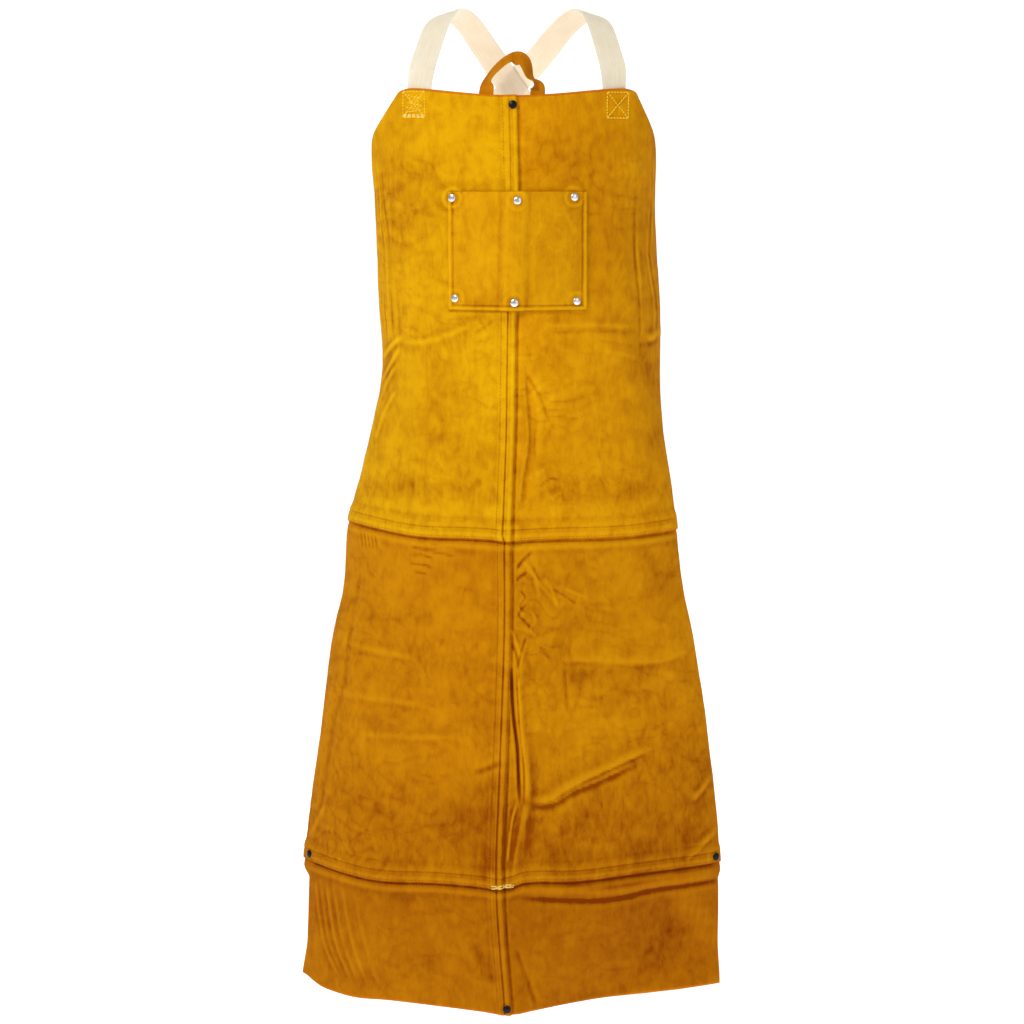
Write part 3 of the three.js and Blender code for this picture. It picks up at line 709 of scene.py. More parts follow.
# Rolls of the seams with the grooves of their stitch rows and the hollows beside them
def seam_relief(x, z):
    offset = x - section("seam", z)
    sharp = lerp(CHEST_SHARE, 1, smoothstep(-z, -CHEST_TOP, -CHEST_FOOT))
    heights = swell(offset, CENTRE_ROLL) + sharp * swell(offset, CENTRE_HOLLOW)
    for row, (depth, width) in zip(centre_rows(z), CENTRE_GROOVES):
        heights -= sharp * depth * bump(offset, row, width)
    nominal = nominal_offset(x, z)
    inner = edge_fade(nominal)
    for edge in (BIB_SEAM_Z, HEM_SEAM_Z):
        rise = z - edge_z(edge, nominal)
        heights += inner * sum(swell(rise, form) for form in CROSS_FORMS)
    return heights


# Dents under rivet caps with a puckered ring round them
def rivet_relief(x, z):
    heights = np.zeros(x.shape)
    for rivet_x, rivet_z, pucker in RIVETS.values():
        radius = np.hypot(x - rivet_x, z - rivet_z)
        heights += pucker * bump(radius, *PUCKER_RING) + swell(radius, RIVET_DENT)
    return heights


# All that stands out of the plain draped form at a point
def relief(x, z):
    folds = np.zeros(x.shape)
    for low_width, high_width, height, *line in FOLDS:
        add_fold(folds, x, z, low_width, high_width, height, line)
    heights = folds * edge_fade(nominal_offset(x, z))
    heights += seam_relief(x, z) + rivet_relief(x, z) + flute_relief(x, z) + crease_relief(x, z)
    for k, (cell, height) in enumerate(UNEVENNESS):
        heights += height * lattice_noise(x, z, cell, SEEDS["unevenness"] + k)
    for share, height in HEM_RIPPLES:
        line = lerp(np.array(RIPPLE_OUTER), np.array(RIPPLE_INNER), share)
        add_fold(heights, x, z, *RIPPLE_WIDTHS, height, line)
    for gather_x in GATHERS_X:
        top = BIB_SEAM_Z - GATHER_TOP
        line = [(gather_x, top), (gather_x + GATHER_LEAN, top - GATHER_LENGTH)]
        add_fold(heights, x, z, *GATHER_FORM, line)
    for side in SIDES:
        for line in box_lines(side):
            add_fold(heights, x, z, GROOVE_WIDTH, GROOVE_WIDTH, -GROOVE_DEPTH, line)
    return heights


# A point lifted off the plain draped form along its outward direction
def lifted(x, z, lift):
    base = np.stack([x, drape_y(x, z), z], axis=-1)
    return base + hide_normal(x, z) * np.asarray(lift)[..., None]


# The same for the folded hide
def hide_point(x, z, lift):
    return lifted(x, z, lift + relief(x, z))


# Half-width of a panel's cut at a height
def cut_half(side, row, z):
    form = SIDES[side]

    def plain(height):
        return np.abs(section(side, height) - section("seam", height))

    arm = lerp(plain(ARM_Z), form["corner_half"], (z - ARM_Z) / (NECK_Z - ARM_Z))
    half = -ARM_ROUND * np.logaddexp(-arm / ARM_ROUND, -plain(z) / ARM_ROUND)
    if row == "hem":
        below_seam = smoothstep(HEM_SEAM_Z - z, HEM_ROLL_REACH, HEM_ROLL_REACH + HEM_STEP)
        half = half - form["hem_inset"] * below_seam * smoothstep(z, HEM_Z, HEM_Z + HEM_FLARE)
    return half


# Height of the neck edge at a share of the half-width
def neck_z(share):
    corner = np.clip((share - NECK_CORNER) / (1 - NECK_CORNER), 0, 1)
    drop = NECK_ROUND * (1 - np.sqrt(1 - corner * corner))
    return NECK_Z - NECK_DIP * (1 - share * share) ** 2 - drop


# Share of a second layer near the centre seam
def near_seam(offset):
    return 1 - smoothstep(offset, SEAM_FLAT, SEAM_FLAT + RAMP)


# Layers under a panel at a distance from the centre seam and a height over its lower edge
def layers_under(side, row, offset, rise):
    at_seam = near_seam(offset)
    at_edge = 0
    if ROWS[row]["over"]:
        at_edge = 1 - smoothstep(rise, ROW_LAP + RAMP_END, ROW_LAP + RAMP_END + RAMP)
    return (at_seam if side == "left" else 0) + at_edge * (1 + at_seam)


# Height of the topmost panel's outer face over the inner face of the plain hide
def top_lift(x, z):
    offset = x - section("seam", z)
    nominal = nominal_offset(x, z)
    lift = np.zeros(x.shape)
    for row, form in ROWS.items():
        bottom = edge_z(form["bottom"], nominal)
        top = np.inf if form["under"] is None else edge_z(form["under"], nominal)
        for side in SIDES:
            on_side = (offset < SEAM_EDGE) == (side == "left")
            here = on_side & (z >= bottom) & (z < top)
            layers = layers_under(side, row, np.abs(offset), z - bottom)
            lift = np.where(here, layers * LAYER + HIDE, lift)
    return lift


# Mean of a grid's values over a square of cells round each place
def blurred(grid, reach):
    for axis in (0, 1):
        pad = [(reach + 1, reach) if k == axis else (0, 0) for k in (0, 1)]
        sums = np.cumsum(np.pad(grid, pad, mode="edge"), axis=axis)
        size = grid.shape[axis]
        width = 2 * reach + 1
        upper = np.take(sums, np.arange(width, width + size), axis=axis)
        lower = np.take(sums, np.arange(size), axis=axis)
        grid = (upper - lower) / width
    return grid


# How far each place stands out of its surroundings, from -1 in a groove to 1 on a ridge, for painted shade in
# grooves and painted highlight and rubbed wear on ridges
def wear_and_shade_of(heights):
    return sum(share * np.tanh((heights - blurred(heights, reach)) / full) for reach, full, share in WEAR_AND_SHADE)


# A smooth-shaded mesh that rides on the body; faces are lists of vertex numbers
def mesh_object(name, points, faces, materials, face_materials=None, sharp_angle=SHARP_ANGLE):
    mesh = bpy.data.meshes.new(name)
    mesh.from_pydata((np.asarray(points).reshape(-1, 3) * MM).tolist(), [], faces)
    for material in materials:
        mesh.materials.append(material)
    if face_materials is not None:
        mesh.polygons.foreach_set("material_index", np.asarray(face_materials, dtype=np.int32))
    mesh.polygons.foreach_set("use_smooth", np.ones(len(mesh.polygons), dtype=bool))
    mesh.set_sharp_from_angle(angle=math.radians(sharp_angle))
    mesh.update()
    piece = bpy.data.objects.new(name, mesh)
    bpy.context.scene.collection.objects.link(piece)
    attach(piece, BODY)
    return piece


def set_attribute(piece, name, values):
    attribute = piece.data.attributes.new(name, "FLOAT", "POINT")
    attribute.data.foreach_set("value", np.asarray(values, dtype=np.float32).ravel())


# Vertex numbers round the border of a grid, starting along its first row
def border_loop(rows, columns):
    grid = np.arange(rows * columns).reshape(rows, columns)
    return np.concatenate([grid[0, :-1], grid[:-1, -1], grid[-1, :0:-1], grid[:0:-1, 0]])


# A closed wall of hide over a grid whose columns run to +X and rows run down, with rounded cut edges
def hide_wall(name, x, z, lift, materials, rims=()):
    rows, columns = x.shape
    count = rows * columns
    normal = hide_normal(x, z)
    heights = lift + relief(x, z)
    base = np.stack([x, drape_y(x, z), z], axis=-1)
    inner = base + normal * heights[..., None]
    outer = inner + normal * HIDE
    grid = np.arange(count).reshape(rows, columns)
    front = np.stack([grid[:-1, :-1], grid[1:, :-1], grid[1:, 1:], grid[:-1, 1:]], axis=-1).reshape(-1, 4)
    back = front[:, ::-1] + count
    loop = border_loop(rows, columns)
    inward = np.clip(loop // columns, 1, rows - 2) * columns + np.clip(loop % columns, 1, columns - 2)
    middle = (outer + inner).reshape(-1, 3) / 2
    rim = middle[loop] + EDGE_ROUND * unit(middle[loop] - middle[inward])
    rim_index = 2 * count + np.arange(len(loop))
    after = np.roll(loop, -1)
    rim_after = np.roll(rim_index, -1)
    upper_rim = np.stack([loop, after, rim_after, rim_index], axis=-1)
    lower_rim = np.stack([rim_index, rim_after, after + count, loop + count], axis=-1)
    points = np.vstack([outer.reshape(-1, 3), inner.reshape(-1, 3), rim])
    faces = np.vstack([front, back, upper_rim, lower_rim])
    cells = np.full((rows - 1, columns - 1), FRONT_FACE)
    for place in rims:
        cells[place] = CUT_FACE
    others = np.repeat([BACK_FACE, CUT_FACE], [len(back), 2 * len(loop)])
    piece = mesh_object(name, points, faces.tolist(), materials, np.concatenate([cells.ravel(), others]))
    # Painted shade in grooves and painted highlight and rubbed wear on ridges
    wear_and_shade = wear_and_shade_of(heights).ravel()
    set_attribute(piece, "wear_and_shade", np.concatenate([wear_and_shade, -wear_and_shade, np.zeros(len(loop))]))
    # Soiled patches, and painted shade along the bib's side edges
    soil_and_edge_shade = patches(x, z, SOIL_AND_EDGE_SHADE).ravel()
    set_attribute(piece, "soil_and_edge_shade", np.concatenate([soil_and_edge_shade, 0 * soil_and_edge_shade, soil_and_edge_shade[loop]]))
    return piece


# One panel, on a grid that is finer along its seams
def hide_panel(side, row, materials):
    sign = SIDES[side]["sign"]
    corner = SIDES[side]["corner_half"]
    form = ROWS[row]
    start = -SEAM_EDGE if side == "left" else -SEAM_UNDER
    seam_columns = evenly(start, FINE_REACH, FINE_STEP)
    widest = cut_half(side, row, np.array([form["bottom"]], dtype=float))[0]
    plain_turns = evenly(0, EDGE_SHARE, PLAIN_STEP / (TURN_STRETCH * (widest - FINE_REACH)))[1:]
    turns = np.concatenate([plain_turns, np.linspace(EDGE_SHARE, 1, EDGE_COLUMNS + 1)[1:]])
    shares = np.concatenate([np.zeros(len(seam_columns)), np.sin(turns * WRAP) / math.sin(WRAP)])
    fixed = np.concatenate([seam_columns, np.full(len(turns), FINE_REACH)])
    nominal = lerp(fixed, corner, shares)
    bottom = edge_z(form["bottom"], sign * nominal)
    if form["under"] is None:
        head_shares = evenly(0, 1, PLAIN_STEP / (NECK_Z - YOKE_Z))
        head = lerp(neck_z(nominal / corner), YOKE_Z, head_shares[:, None])
    else:
        head = edge_z(form["under"], sign * nominal) + evenly(ROW_LAP, -LAP_RUN, FINE_STEP)[:, None]
    foot_rises = evenly(ROW_LAP + RAMP_END + RAMP, 0, FINE_STEP) if form["over"] else np.zeros(1)
    foot = bottom + foot_rises[:, None]
    shares_down = evenly(0, 1, PLAIN_STEP / (head[-1].mean() - foot[0].mean()))[1:-1]
    z = np.vstack([head, lerp(head[-1], foot[0], shares_down[:, None]), foot])
    offset = lerp(fixed, cut_half(side, row, z), shares)
    lift = layers_under(side, row, offset, z - bottom) * LAYER
    x = section("seam", z) + sign * offset
    outer_side = np.s_[:, -1]
    if side == "left":
        x, z, lift = x[:, ::-1], z[:, ::-1], lift[:, ::-1]
        outer_side = np.s_[:, 0]
    rims = [np.s_[-1, :], outer_side] + ([np.s_[0, :]] if row == "bib" else [])
    return hide_wall(f"{row}_{side}_suede", x, z, lift, materials, rims)


# Clear height of the pocket's inner face over the bib's
def pocket_lift(x, z):
    offset = x - section("seam", z)
    away = np.abs(offset)
    half = (POCKET_RIGHT - POCKET_LEFT) / 2
    across = np.sin(np.pi * np.clip(away / half, 0, 1))
    opened = smoothstep(z, POCKET_BOTTOM, POCKET_TOP)
    bridge = swell(offset, POCKET_BRIDGE) - seam_relief(x, z)
    return LAYER * (1 + near_seam(away)) + POCKET_GAP + POCKET_BELLY * across * opened + bridge


# The same with the pocket's own relief: a stitched hem round its sides and foot
def pocket_rise(x, z):
    inside = np.minimum(np.minimum(x - POCKET_LEFT, POCKET_RIGHT - x), z - POCKET_BOTTOM)
    return pocket_lift(x, z) + swell(inside, POCKET_PILLOW) + swell(inside, POCKET_GROOVE)


def pocket_top(x, z):
    return pocket_rise(x, z) + HIDE


def chest_pocket(materials):
    columns = evenly(POCKET_LEFT, POCKET_RIGHT, POCKET_STEP)
    rows = evenly(POCKET_TOP, POCKET_BOTTOM, POCKET_STEP)
    x, z = np.meshgrid(columns, rows)
    return hide_wall("chest_pocket_suede", x, z, pocket_rise(x, z), materials)


# Faces between the rings of a tube
def tube_walls(steps, ring):
    grid = np.arange(steps * ring).reshape(steps, ring)
    around = np.roll(grid, -1, axis=1)
    return np.stack([grid[:-1], grid[1:], around[1:], around[:-1]], axis=-1).reshape(-1, 4)


# A flat strip with rounded selvedges along a smooth path; stations hold a place and a facing
def strip(name, stations, width, thickness, steps, materials):
    t = np.linspace(0, 1, steps)
    path = spline([at for at, face in stations], t)
    along = unit(np.gradient(path, axis=0))
    across = unit(np.cross(along, spline([face for at, face in stations], t)))
    facing = unit(np.cross(across, along))
    share = np.cos(np.linspace(np.pi, 0, STRIP_ACROSS))
    rise = np.sqrt(1 - np.abs(share) ** STRIP_ROUND)
    ring_across = np.concatenate([share, share[-2:0:-1]]) * width / 2
    ring_rise = np.concatenate([rise, -rise[-2:0:-1]]) * thickness / 2
    ring = len(ring_across)
    sideways = across[:, None, :] * ring_across[None, :, None]
    points = path[:, None, :] + sideways + facing[:, None, :] * ring_rise[None, :, None]
    top = np.arange(STRIP_ACROSS)
    under = np.concatenate([[0], np.arange(ring - 1, STRIP_ACROSS - 1, -1), [STRIP_ACROSS - 1]])
    caps = np.stack([top[1:-2], top[2:-1], under[2:-1], under[1:-2]], axis=-1)
    ends = [[0, 1, under[1]], [top[-2], top[-1], under[-2]]]
    last = (steps - 1) * ring
    faces = tube_walls(steps, ring).tolist() + caps.tolist() + (caps[:, ::-1] + last).tolist()
    faces += ends + [[last + k for k in reversed(end)] for end in ends]
    piece = mesh_object(name, points, faces, materials)
    run = np.concatenate([[0], np.cumsum(np.linalg.norm(np.diff(path, axis=0), axis=1))])
    set_attribute(piece, "run", np.repeat(run, ring))
    set_attribute(piece, "across", np.tile(ring_across, steps))
    for even in ("wear_and_shade", "soil_and_edge_shade"):
        set_attribute(piece, even, np.zeros(steps * ring))
    return piece


# One place on the hide as fields of x and z
def single(place):
    return np.array(place, dtype=float).reshape(2, 1)


# Stations of a strip that is sewn under the hide at both ends and free between them
def strip_stations(first, first_lift, path, last, last_lift):
    def sewn(place, lift):
        x, z = single(place)
        return lifted(x, z, lift)[0], hide_normal(x, z)[0]

    start = [sewn(place, first_lift) for place in first]
    middle = [(at, unit(np.array(face, dtype=float))) for at, face in path]
    return start + middle + [sewn(place, last_lift) for place in last]


def strap_stations(side):
    strap = STRAPS[side]
    facings = STRAP_FACINGS * (-SIDES[side]["sign"], 1, 1)
    return strip_stations(strap["chest"], STRAP_LIFT, zip(strap["path"], facings), strap["waist"], WAIST_LIFT)


# A domed cap with a rolled rim, its shank and the washer behind
def rivet_piece(name, place, through_pocket, material):
    x, z = single(place)
    stack = (pocket_lift(x, z)[0] if through_pocket else LAYER) + HIDE
    washer = -RIVET_BACK_CLEAR
    back = washer - WASHER_THICK
    cap = stack + RIVET_FRONT_CLEAR
    angles = np.radians(np.linspace(0, 90, DOME_STEPS))[:-1]
    profile = [
        (DISH_RADII[0], back + WASHER_DISH),
        (DISH_RADII[1], back),
        (WASHER_RADIUS - WASHER_BEVEL, back),
        (WASHER_RADIUS, washer - WASHER_THICK / 2),
        (WASHER_RADIUS, washer),
        (SHANK_RADIUS, washer),
        (SHANK_RADIUS, cap),
        (CAP_RADIUS - CAP_TUCK[0], cap - CAP_TUCK[1]),
        (CAP_RADIUS, cap + CAP_LIP),
        *[(CAP_RADIUS * math.cos(a), cap + CAP_RIM + CAP_RISE * math.sin(a)) for a in angles],
    ]
    turn = np.linspace(0, 2 * np.pi, RIVET_SIDES, endpoint=False)
    normal = hide_normal(x, z)[0]
    seat = hide_point(x, z, 0)[0]
    first = unit(np.cross(normal, (0, 0, 1)))
    second = np.cross(normal, first)
    circle = np.cos(turn)[:, None] * first + np.sin(turn)[:, None] * second
    rings = [seat + radius * circle + height * normal for radius, height in profile]
    ends = [seat + height * normal for height in (back + WASHER_DISH, cap + CAP_RIM + CAP_RISE)]
    foot = len(profile) * RIVET_SIDES
    peak = foot + 1
    rim = foot - RIVET_SIDES
    faces = tube_walls(len(profile), RIVET_SIDES).tolist()
    for k in range(RIVET_SIDES):
        after = (k + 1) % RIVET_SIDES
        faces += [[foot, k, after], [peak, rim + after, rim + k]]
    return mesh_object(name, np.vstack([*rings, *ends]), faces, [material])


# Sewing thread: one short tube for each stitch along lines of x and z on the hide
def stitches(name, lines, lift_at, material, stitch=SEAM_STITCH):
    radius, pitch, length = stitch
    stations = []
    for line in lines:
        line = np.asarray(line, dtype=float)
        run = np.concatenate([[0], np.cumsum(np.hypot(*np.diff(line, axis=0).T))])
        count = max(1, int(run[-1] / pitch))
        starts = (np.arange(count) + 0.5) * run[-1] / count - length / 2
        at = starts[:, None] + np.linspace(0, length, len(THREAD_TAPER))
        stations.append(np.stack([np.interp(at, run, line[:, 0]), np.interp(at, run, line[:, 1])], axis=-1))
    stations = np.vstack(stations)
    x, z = stations[..., 0], stations[..., 1]
    normal = hide_normal(x, z)
    centres = hide_point(x, z, lift_at(x, z) + radius * THREAD_SINK)
    tangent = unit(np.gradient(centres, axis=1))
    across = unit(np.cross(tangent, normal))
    up = np.cross(across, tangent)
    turn = np.linspace(0, 2 * np.pi, THREAD_SIDES, endpoint=False)
    spokes = np.cos(turn)[:, None] * across[:, :, None, :] + np.sin(turn)[:, None] * up[:, :, None, :]
    points = centres[:, :, None, :] + radius * THREAD_TAPER[None, :, None, None] * spokes
    steps = len(THREAD_TAPER)
    walls = np.roll(tube_walls(steps, THREAD_SIDES)[:, ::-1], 1, axis=1)
    one = np.vstack([walls, THREAD_CAP, THREAD_CAP[:, ::-1] + (steps - 1) * THREAD_SIDES])
    shifts = np.arange(len(stations)) * steps * THREAD_SIDES
    faces = (one[None] + shifts[:, None, None]).reshape(-1, 4)
    return mesh_object(name, points, faces.tolist(), [material], sharp_angle=THREAD_SHARP)


# Both stitch rows beside the centre seam
def centre_lines(top, bottom):
    z = np.linspace(top, bottom, CENTRE_POINTS)
    return [np.stack([section("seam", z) + row, z], axis=-1) for row in centre_rows(z)]


# Both stitch rows along a cross seam, on each side of the centre
def cross_lines(edge):
    lines = []
    for side, form in SIDES.items():
        half = np.abs(section(side, edge) - section("seam", edge))
        offset = form["sign"] * np.linspace(CROSS_START, half - CROSS_END, CROSS_POINTS)
        nominal = nominal_offset(section("seam", edge) + offset, np.full(offset.shape, float(edge)))
        for row in EDGE_ROWS:
            z = edge_z(edge, nominal) + row
            lines.append(np.stack([section("seam", z) + offset, z], axis=-1))
    return lines


# The pocket's stitches run down one side, along the foot and up the other side
def pocket_lines():
    left, right = POCKET_LEFT + POCKET_HEM, POCKET_RIGHT - POCKET_HEM
    foot = POCKET_BOTTOM + POCKET_HEM
    corners = [(left, POCKET_TOP), (left, foot), (right, foot), (right, POCKET_TOP)]
    return [[corners[0], corners[1]], [corners[1], corners[2]], [corners[2], corners[3]]]


def bar_lines(line, count, step, shift):
    return [[(x + shift * (k % 2), z - step * k) for x, z in line] for k in range(count)]


# Colour given as 8-bit sRGB, as linear light
def srgb(levels):
    shares = np.array(levels) / 255
    linear = np.where(shares <= 0.04045, shares / 12.92, ((shares + 0.055) / 1.055) ** 2.4)
    return (*linear.tolist(), 1.0)


def scaled(colour, red, green, blue):
    return (min(colour[0] * red, 1), min(colour[1] * green, 1), min(colour[2] * blue, 1), 1.0)


def new_material(name):
    material = bpy.data.materials.new(name)
    material.use_nodes = True
    tree = material.node_tree
    return material, tree, tree.nodes["Principled BSDF"]


# Links sockets to a node's inputs and sets the other values on them
def fill(tree, node, inputs):
    for name, value in inputs.items():
        if isinstance(value, bpy.types.NodeSocket):
            tree.links.new(value, node.inputs[name])
        else:
            node.inputs[name].default_value = value


def set_all(thing, settings):
    for name, value in settings.items():
        setattr(thing, name, value)


# A new node with its settings and inputs
def add(tree, kind, inputs=None, **settings):
    node = tree.nodes.new(kind)
    set_all(node, settings)
    fill(tree, node, inputs or {})
    return node


def object_place(tree):
    return add(tree, "ShaderNodeTexCoord").outputs["Object"]


def attribute(tree, name):
    return add(tree, "ShaderNodeAttribute", attribute_name=name).outputs["Fac"]


def noise(tree, place, scale, detail=4, rough=0.6, distort=0.0):
    inputs = {"Vector": place, "Scale": scale, "Detail": detail, "Roughness": rough, "Distortion": distort}
    return add(tree, "ShaderNodeTexNoise", inputs).outputs["Fac"]


def stretched(tree, place, scale, turn=(0, 0, 0)):
    inputs = {"Vector": place, "Rotation": turn, "Scale": scale}
    return add(tree, "ShaderNodeMapping", inputs).outputs["Vector"]


def math_node(tree, operation, *values):
    node = add(tree, "ShaderNodeMath", dict(enumerate(values)), operation=operation)
    return node.outputs["Value"]


# A signal from 0 to 1 brought between two values
def between(tree, signal, low, high):
    return add(tree, "ShaderNodeMapRange", {"Value": signal, "To Min": low, "To Max": high}).outputs["Result"]


# Sum of a start value and signals that swing about a middle, each with its weight
def mixed_tone(tree, start, signals):
    tone = start
    for signal, middle, weight in signals:
        swing = math_node(tree, "SUBTRACT", signal, middle)
        tone = math_node(tree, "MULTIPLY_ADD", swing, weight, tone)
    return tone


def ramp(tree, factor, stops):
    node = add(tree, "ShaderNodeValToRGB", {"Fac": factor})
    elements = node.color_ramp.elements
    while len(elements) < len(stops):
        elements.new(0.5)
    for element, (position, colour) in zip(elements, stops):
        element.position = position
        element.color = colour
    return node.outputs["Color"]


def bumped(tree, height, strength, distance, normal=None):
    inputs = {"Height": height, "Strength": strength, "Distance": distance}
    if normal is not None:
        inputs["Normal"] = normal
    return add(tree, "ShaderNodeBump", inputs).outputs["Normal"]


# Split leather: cloudy tone and brushed nap, with painted shade in grooves, painted highlight and rubbed wear
# on ridges, and soiled patches with painted shade along the bib's edges
def suede(name, levels, contrast=1.0):
    colour = srgb(levels)
    material, tree, shader = new_material(name)
    place = object_place(tree)
    cloud = noise(tree, place, 10, 3, 0.5, 0.8)
    mottle = noise(tree, place, 34, 4, 0.5, 1.0)
    wisps = noise(tree, stretched(tree, place, (70, 70, 36), (0, 0.35, 0)), 1, 4, 0.55, 1.2)
    brushed = noise(tree, stretched(tree, place, (190, 190, 60), (0, -0.25, 0)), 1, 3, 0.55, 0.6)
    nap = noise(tree, place, 900, 3, 0.7)
    blotches = math_node(tree, "MULTIPLY_ADD", mottle, 2.4, -0.2)
    # Soiled patches and painted shade along the bib's side edges, made blotchy
    dirt_and_edge_shade = math_node(tree, "MULTIPLY", attribute(tree, "soil_and_edge_shade"), blotches)
    signals = [
        (cloud, 0.5, 0.6 * contrast),
        (mottle, 0.5, 0.6 * contrast),
        (wisps, 0.5, 0.45 * contrast),
        (brushed, 0.5, 0.3 * contrast),
        (nap, 0.5, 0.4),
        # Painted shade in grooves and painted highlight and rubbed wear on ridges
        (attribute(tree, "wear_and_shade"), 0.0, 0.55),
        (dirt_and_edge_shade, 0.0, -0.36),
    ]
    stops = [
        (0.0, scaled(colour, 0.46, 0.24, 0.3)),
        (0.3, scaled(colour, 0.80, 0.70, 0.8)),
        (0.55, colour),
        (1.0, scaled(colour, 1.22, 1.42, 1.5)),
    ]
    grain = bumped(tree, nap, 0.35, 0.0006)
    fill(tree, shader, {
        "Base Color": ramp(tree, mixed_tone(tree, 0.5, signals), stops),
        "Roughness": between(tree, nap, 0.82, 1.0),
        "Normal": bumped(tree, mottle, 0.25, 0.003, grain),
        "Specular IOR Level": 0.15,
        "Specular Tint": (1.0, 0.55, 0.06, 1),
        "Sheen Weight": 0.06,
        "Sheen Roughness": 0.5,
        "Sheen Tint": (1.0, 0.6, 0.08, 1),
    })
    return material


# Cotton webbing: fine ribs along it crossed by the weft, with a lengthwise streaky tone
def webbing_material():
    material, tree, shader = new_material("cotton_webbing")
    run = attribute(tree, "run")
    across = attribute(tree, "across")
    rib = math_node(tree, "SINE", math_node(tree, "MULTIPLY", across, 2 * math.pi / RIB_WIDTH))
    slanted = math_node(tree, "MULTIPLY_ADD", math_node(tree, "ABSOLUTE", across), WEFT_SLANT, run)
    weft = math_node(tree, "SINE", math_node(tree, "MULTIPLY", slanted, 2 * math.pi / WEFT_WIDTH))
    weave = math_node(tree, "MULTIPLY_ADD", rib, 0.5, math_node(tree, "MULTIPLY", weft, 0.5))
    place = add(tree, "ShaderNodeCombineXYZ", {"X": run, "Y": across}).outputs["Vector"]
    streak = noise(tree, stretched(tree, place, (0.03, 0.9, 1)), 1, 3)
    stain = noise(tree, stretched(tree, place, (0.05, 0.05, 1)), 1, 4)
    lint = noise(tree, place, 2.2, 3)
    signals = [(streak, 0.5, 0.7), (stain, 0.5, 0.4), (lint, 0.5, 0.3), (weave, 0.0, 0.12)]
    stops = zip((0.0, 0.5, 1.0), (srgb(levels) for levels in WEBBING_COLOURS))
    fill(tree, shader, {
        "Base Color": ramp(tree, mixed_tone(tree, 0.55, signals), list(stops)),
        "Roughness": between(tree, lint, 0.75, 0.95),
        "Normal": bumped(tree, weave, 0.5, 0.0003),
        "Specular IOR Level": 0.2,
        "Sheen Weight": 0.1,
        "Subsurface Weight": 0.8,
        "Subsurface Radius": (1.0, 1.0, 1.0),
        "Subsurface Scale": 0.005,
    })
    return material


# Twisted sewing thread
def thread_material(name, levels):
    colour = srgb(levels)
    material, tree, shader = new_material(name)
    place = object_place(tree)
    fibre = noise(tree, place, 1800, 3)
    shade = noise(tree, place, 160, 3)
    tone = mixed_tone(tree, 0.5, [(fibre, 0.5, 0.6), (shade, 0.5, 0.7)])
    stops = [(0.0, scaled(colour, 0.55, 0.45, 0.4)), (0.5, colour), (1.0, scaled(colour, 1.25, 1.3, 1.5))]
    fill(tree, shader, {
        "Base Color": ramp(tree, tone, stops),
        "Normal": bumped(tree, fibre, 0.4, 0.0003),
        "Roughness": 0.75,
        "Specular IOR Level": 0.12,
    })
    return material


# Plated metal with faint scuffs
def plated(name, levels, roughness):
    colour = srgb(levels)
    material, tree, shader = new_material(name)
    place = object_place(tree)
    scuff = noise(tree, place, 900, 4, 0.7)
    stain = noise(tree, place, 220, 3)
    tone = mixed_tone(tree, 0.6, [(stain, 0.5, 0.8)])
    stops = [(0.0, scaled(colour, 0.6, 0.6, 0.6)), (0.6, colour), (1.0, scaled(colour, 1.15, 1.15, 1.15))]
    fill(tree, shader, {
        "Base Color": ramp(tree, tone, stops),
        "Roughness": between(tree, scuff, roughness * 0.6, roughness * 1.6),
        "Normal": bumped(tree, scuff, 0.06, 0.0002),
        "Metallic": 1.0,
    })
    return material


# Floor that rises behind into a backdrop
def backdrop():
    turn = np.radians(np.linspace(0, 90, CURVE_STEPS))
    bend_y = CURVE_START + CURVE_RADIUS * np.sin(turn)
    bend_z = FLOOR_Z + CURVE_RADIUS * (1 - np.cos(turn))
    y = np.concatenate([[-FLOOR_HALF], bend_y, [bend_y[-1]]])
    z = np.concatenate([[FLOOR_Z], bend_z, [BACKDROP_TOP]])
    points = [(side * FLOOR_HALF, y[k], z[k]) for k in range(len(y)) for side in (-1, 1)]
    faces = [[2 * k, 2 * k + 1, 2 * k + 3, 2 * k + 2] for k in range(len(y) - 1)]
    mesh = bpy.data.meshes.new("studio_floor")
    mesh.from_pydata(points, [], faces)
    mesh.polygons.foreach_set("use_smooth", np.ones(len(faces), dtype=bool))
    floor = bpy.data.objects.new("studio_floor", mesh)
    bpy.context.scene.collection.objects.link(floor)
    material, tree, shader = new_material("studio_white")
    fill(tree, shader, {
        "Base Color": FLOOR_WHITE,
        "Roughness": 0.9,
        "Emission Color": WHITE,
        "Emission Strength": FLOOR_GLOW,
    })
    mesh.materials.append(material)


# Puts a light or camera in its place, turned to its target
def aimed(name, data, place, target):
    piece = bpy.data.objects.new(name, data)
    piece.location = place
    piece.rotation_euler = (Vector(target) - Vector(place)).to_track_quat("-Z", "Y").to_euler()
    bpy.context.scene.collection.objects.link(piece)
    return piece


def lights():
    for name, (kind, place, target, settings) in LIGHTS.items():
        light = bpy.data.lights.new(name, kind)
        set_all(light, settings)
        aimed(name, light, place, target).visible_camera = False


# A white world that looks paler than it shines
def studio_world():
    world = bpy.data.worlds.new("studio")
    bpy.context.scene.world = world
    world.use_nodes = True
    tree = world.node_tree
    camera_ray = add(tree, "ShaderNodeLightPath").outputs["Is Camera Ray"]
    strength = between(tree, camera_ray, WORLD_LIGHT, WORLD_SEEN)
    fill(tree, tree.nodes["Background"], {"Color": WHITE, "Strength": strength})


hides = {name: suede("suede_" + name, levels) for name, levels in HIDE_COLOURS.items()}
cut_edge = suede("cut_edge", CUT_EDGE_COLOUR, 0.6)
flesh_side = suede("flesh_side", FLESH_COLOUR, 0.8)
webbing = webbing_material()
threads = {name: thread_material(f"{name}_thread", levels) for name, levels in THREAD_COLOURS.items()}
metals = {name: plated(f"{name}_nickel", levels, rough) for name, (levels, rough) in METALS.items()}

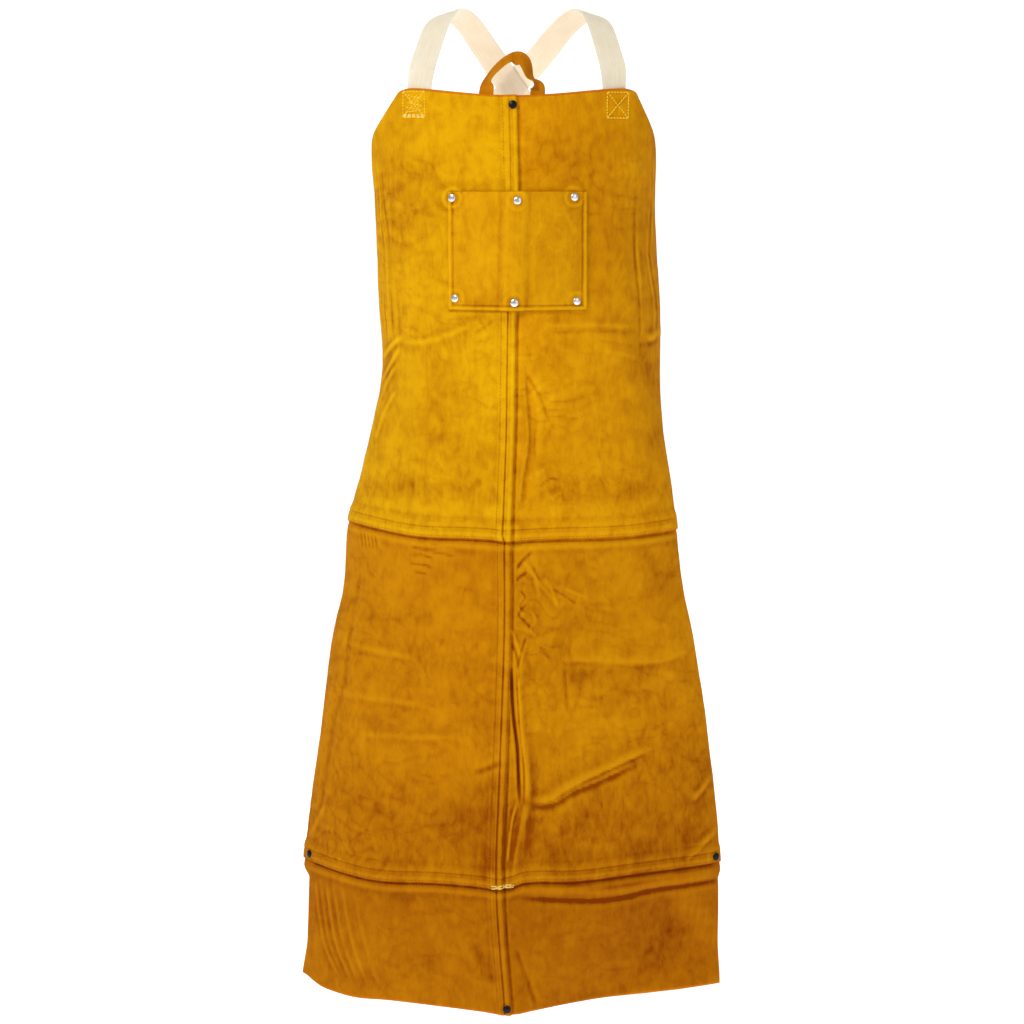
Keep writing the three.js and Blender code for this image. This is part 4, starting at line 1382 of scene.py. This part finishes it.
for row in ROWS:
    for side in SIDES:
        panel = hide_panel(side, row, [hides[f"{row}_{side}"], cut_edge, flesh_side])
        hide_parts(f"{row}_panel_{side}")

pocket = chest_pocket([hides["pocket"], cut_edge, flesh_side])
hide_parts("chest_pocket")

loop_stations = strip_stations(LOOP_LEFT, LOOP_LIFT, LOOP_PATH, LOOP_RIGHT, LOOP_LIFT)
loop = strip("hanging_loop_suede", loop_stations, LOOP_WIDTH, LOOP_THICK, LOOP_STEPS, [hides["loop"]])
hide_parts("hanging_loop")

for side in STRAPS:
    stations = strap_stations(side)
    strap = strip(f"strap_{side}_webbing", stations, STRAP_WIDTH, STRAP_THICK, STRAP_STEPS, [webbing])
    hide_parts(f"shoulder_strap_{side}")

for name, rivet in RIVETS.items():
    through_pocket = name.startswith("pocket")
    # Rivets away from the pocket get the nickel's dark copy, painted shade
    metal = metals["bright" if through_pocket else "shade_painted"]
    cap = rivet_piece(f"rivet_{name}_cap", rivet[:2], through_pocket, metal)
    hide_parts(f"rivet_{name}")

upper_lines = centre_lines(NECK_Z - NECK_DIP - NECK_CLEAR, BIB_SEAM_Z) + cross_lines(BIB_SEAM_Z)
stitches("stitches_bib", upper_lines, top_lift, threads["bib"])
lower_lines = centre_lines(BIB_SEAM_Z - ROWS_SPREAD, HEM_Z) + cross_lines(HEM_SEAM_Z)
stitches("stitches_skirt", lower_lines, top_lift, threads["skirt"])
stitches("stitches_pocket", pocket_lines(), pocket_top, threads["bib"])
for side in SIDES:
    stitches(f"stitches_strap_{side}", box_lines(side), top_lift, threads["box"], BOX_STITCH)
stitches("stitches_strap_left_again", LOOSE_LINES, top_lift, threads["box"], LOOSE_STITCH)
stitches("strap_bar", bar_lines(*STRAP_BAR), top_lift, threads["bar"], STRAP_BAR_STITCH)
stitches("bar_tack", bar_lines(*BAR_TACK), top_lift, threads["bar"], BAR_TACK_STITCH)

backdrop()
lights()
studio_world()
bpy.context.scene.view_settings.view_transform = "Standard"

camera_data = bpy.data.cameras.new("camera")
camera_data.lens = CAMERA_LENS
camera_data.sensor_width = CAMERA_SENSOR
bpy.context.scene.camera = aimed("camera", camera_data, CAMERA_PLACE, CAMERA_AIM)
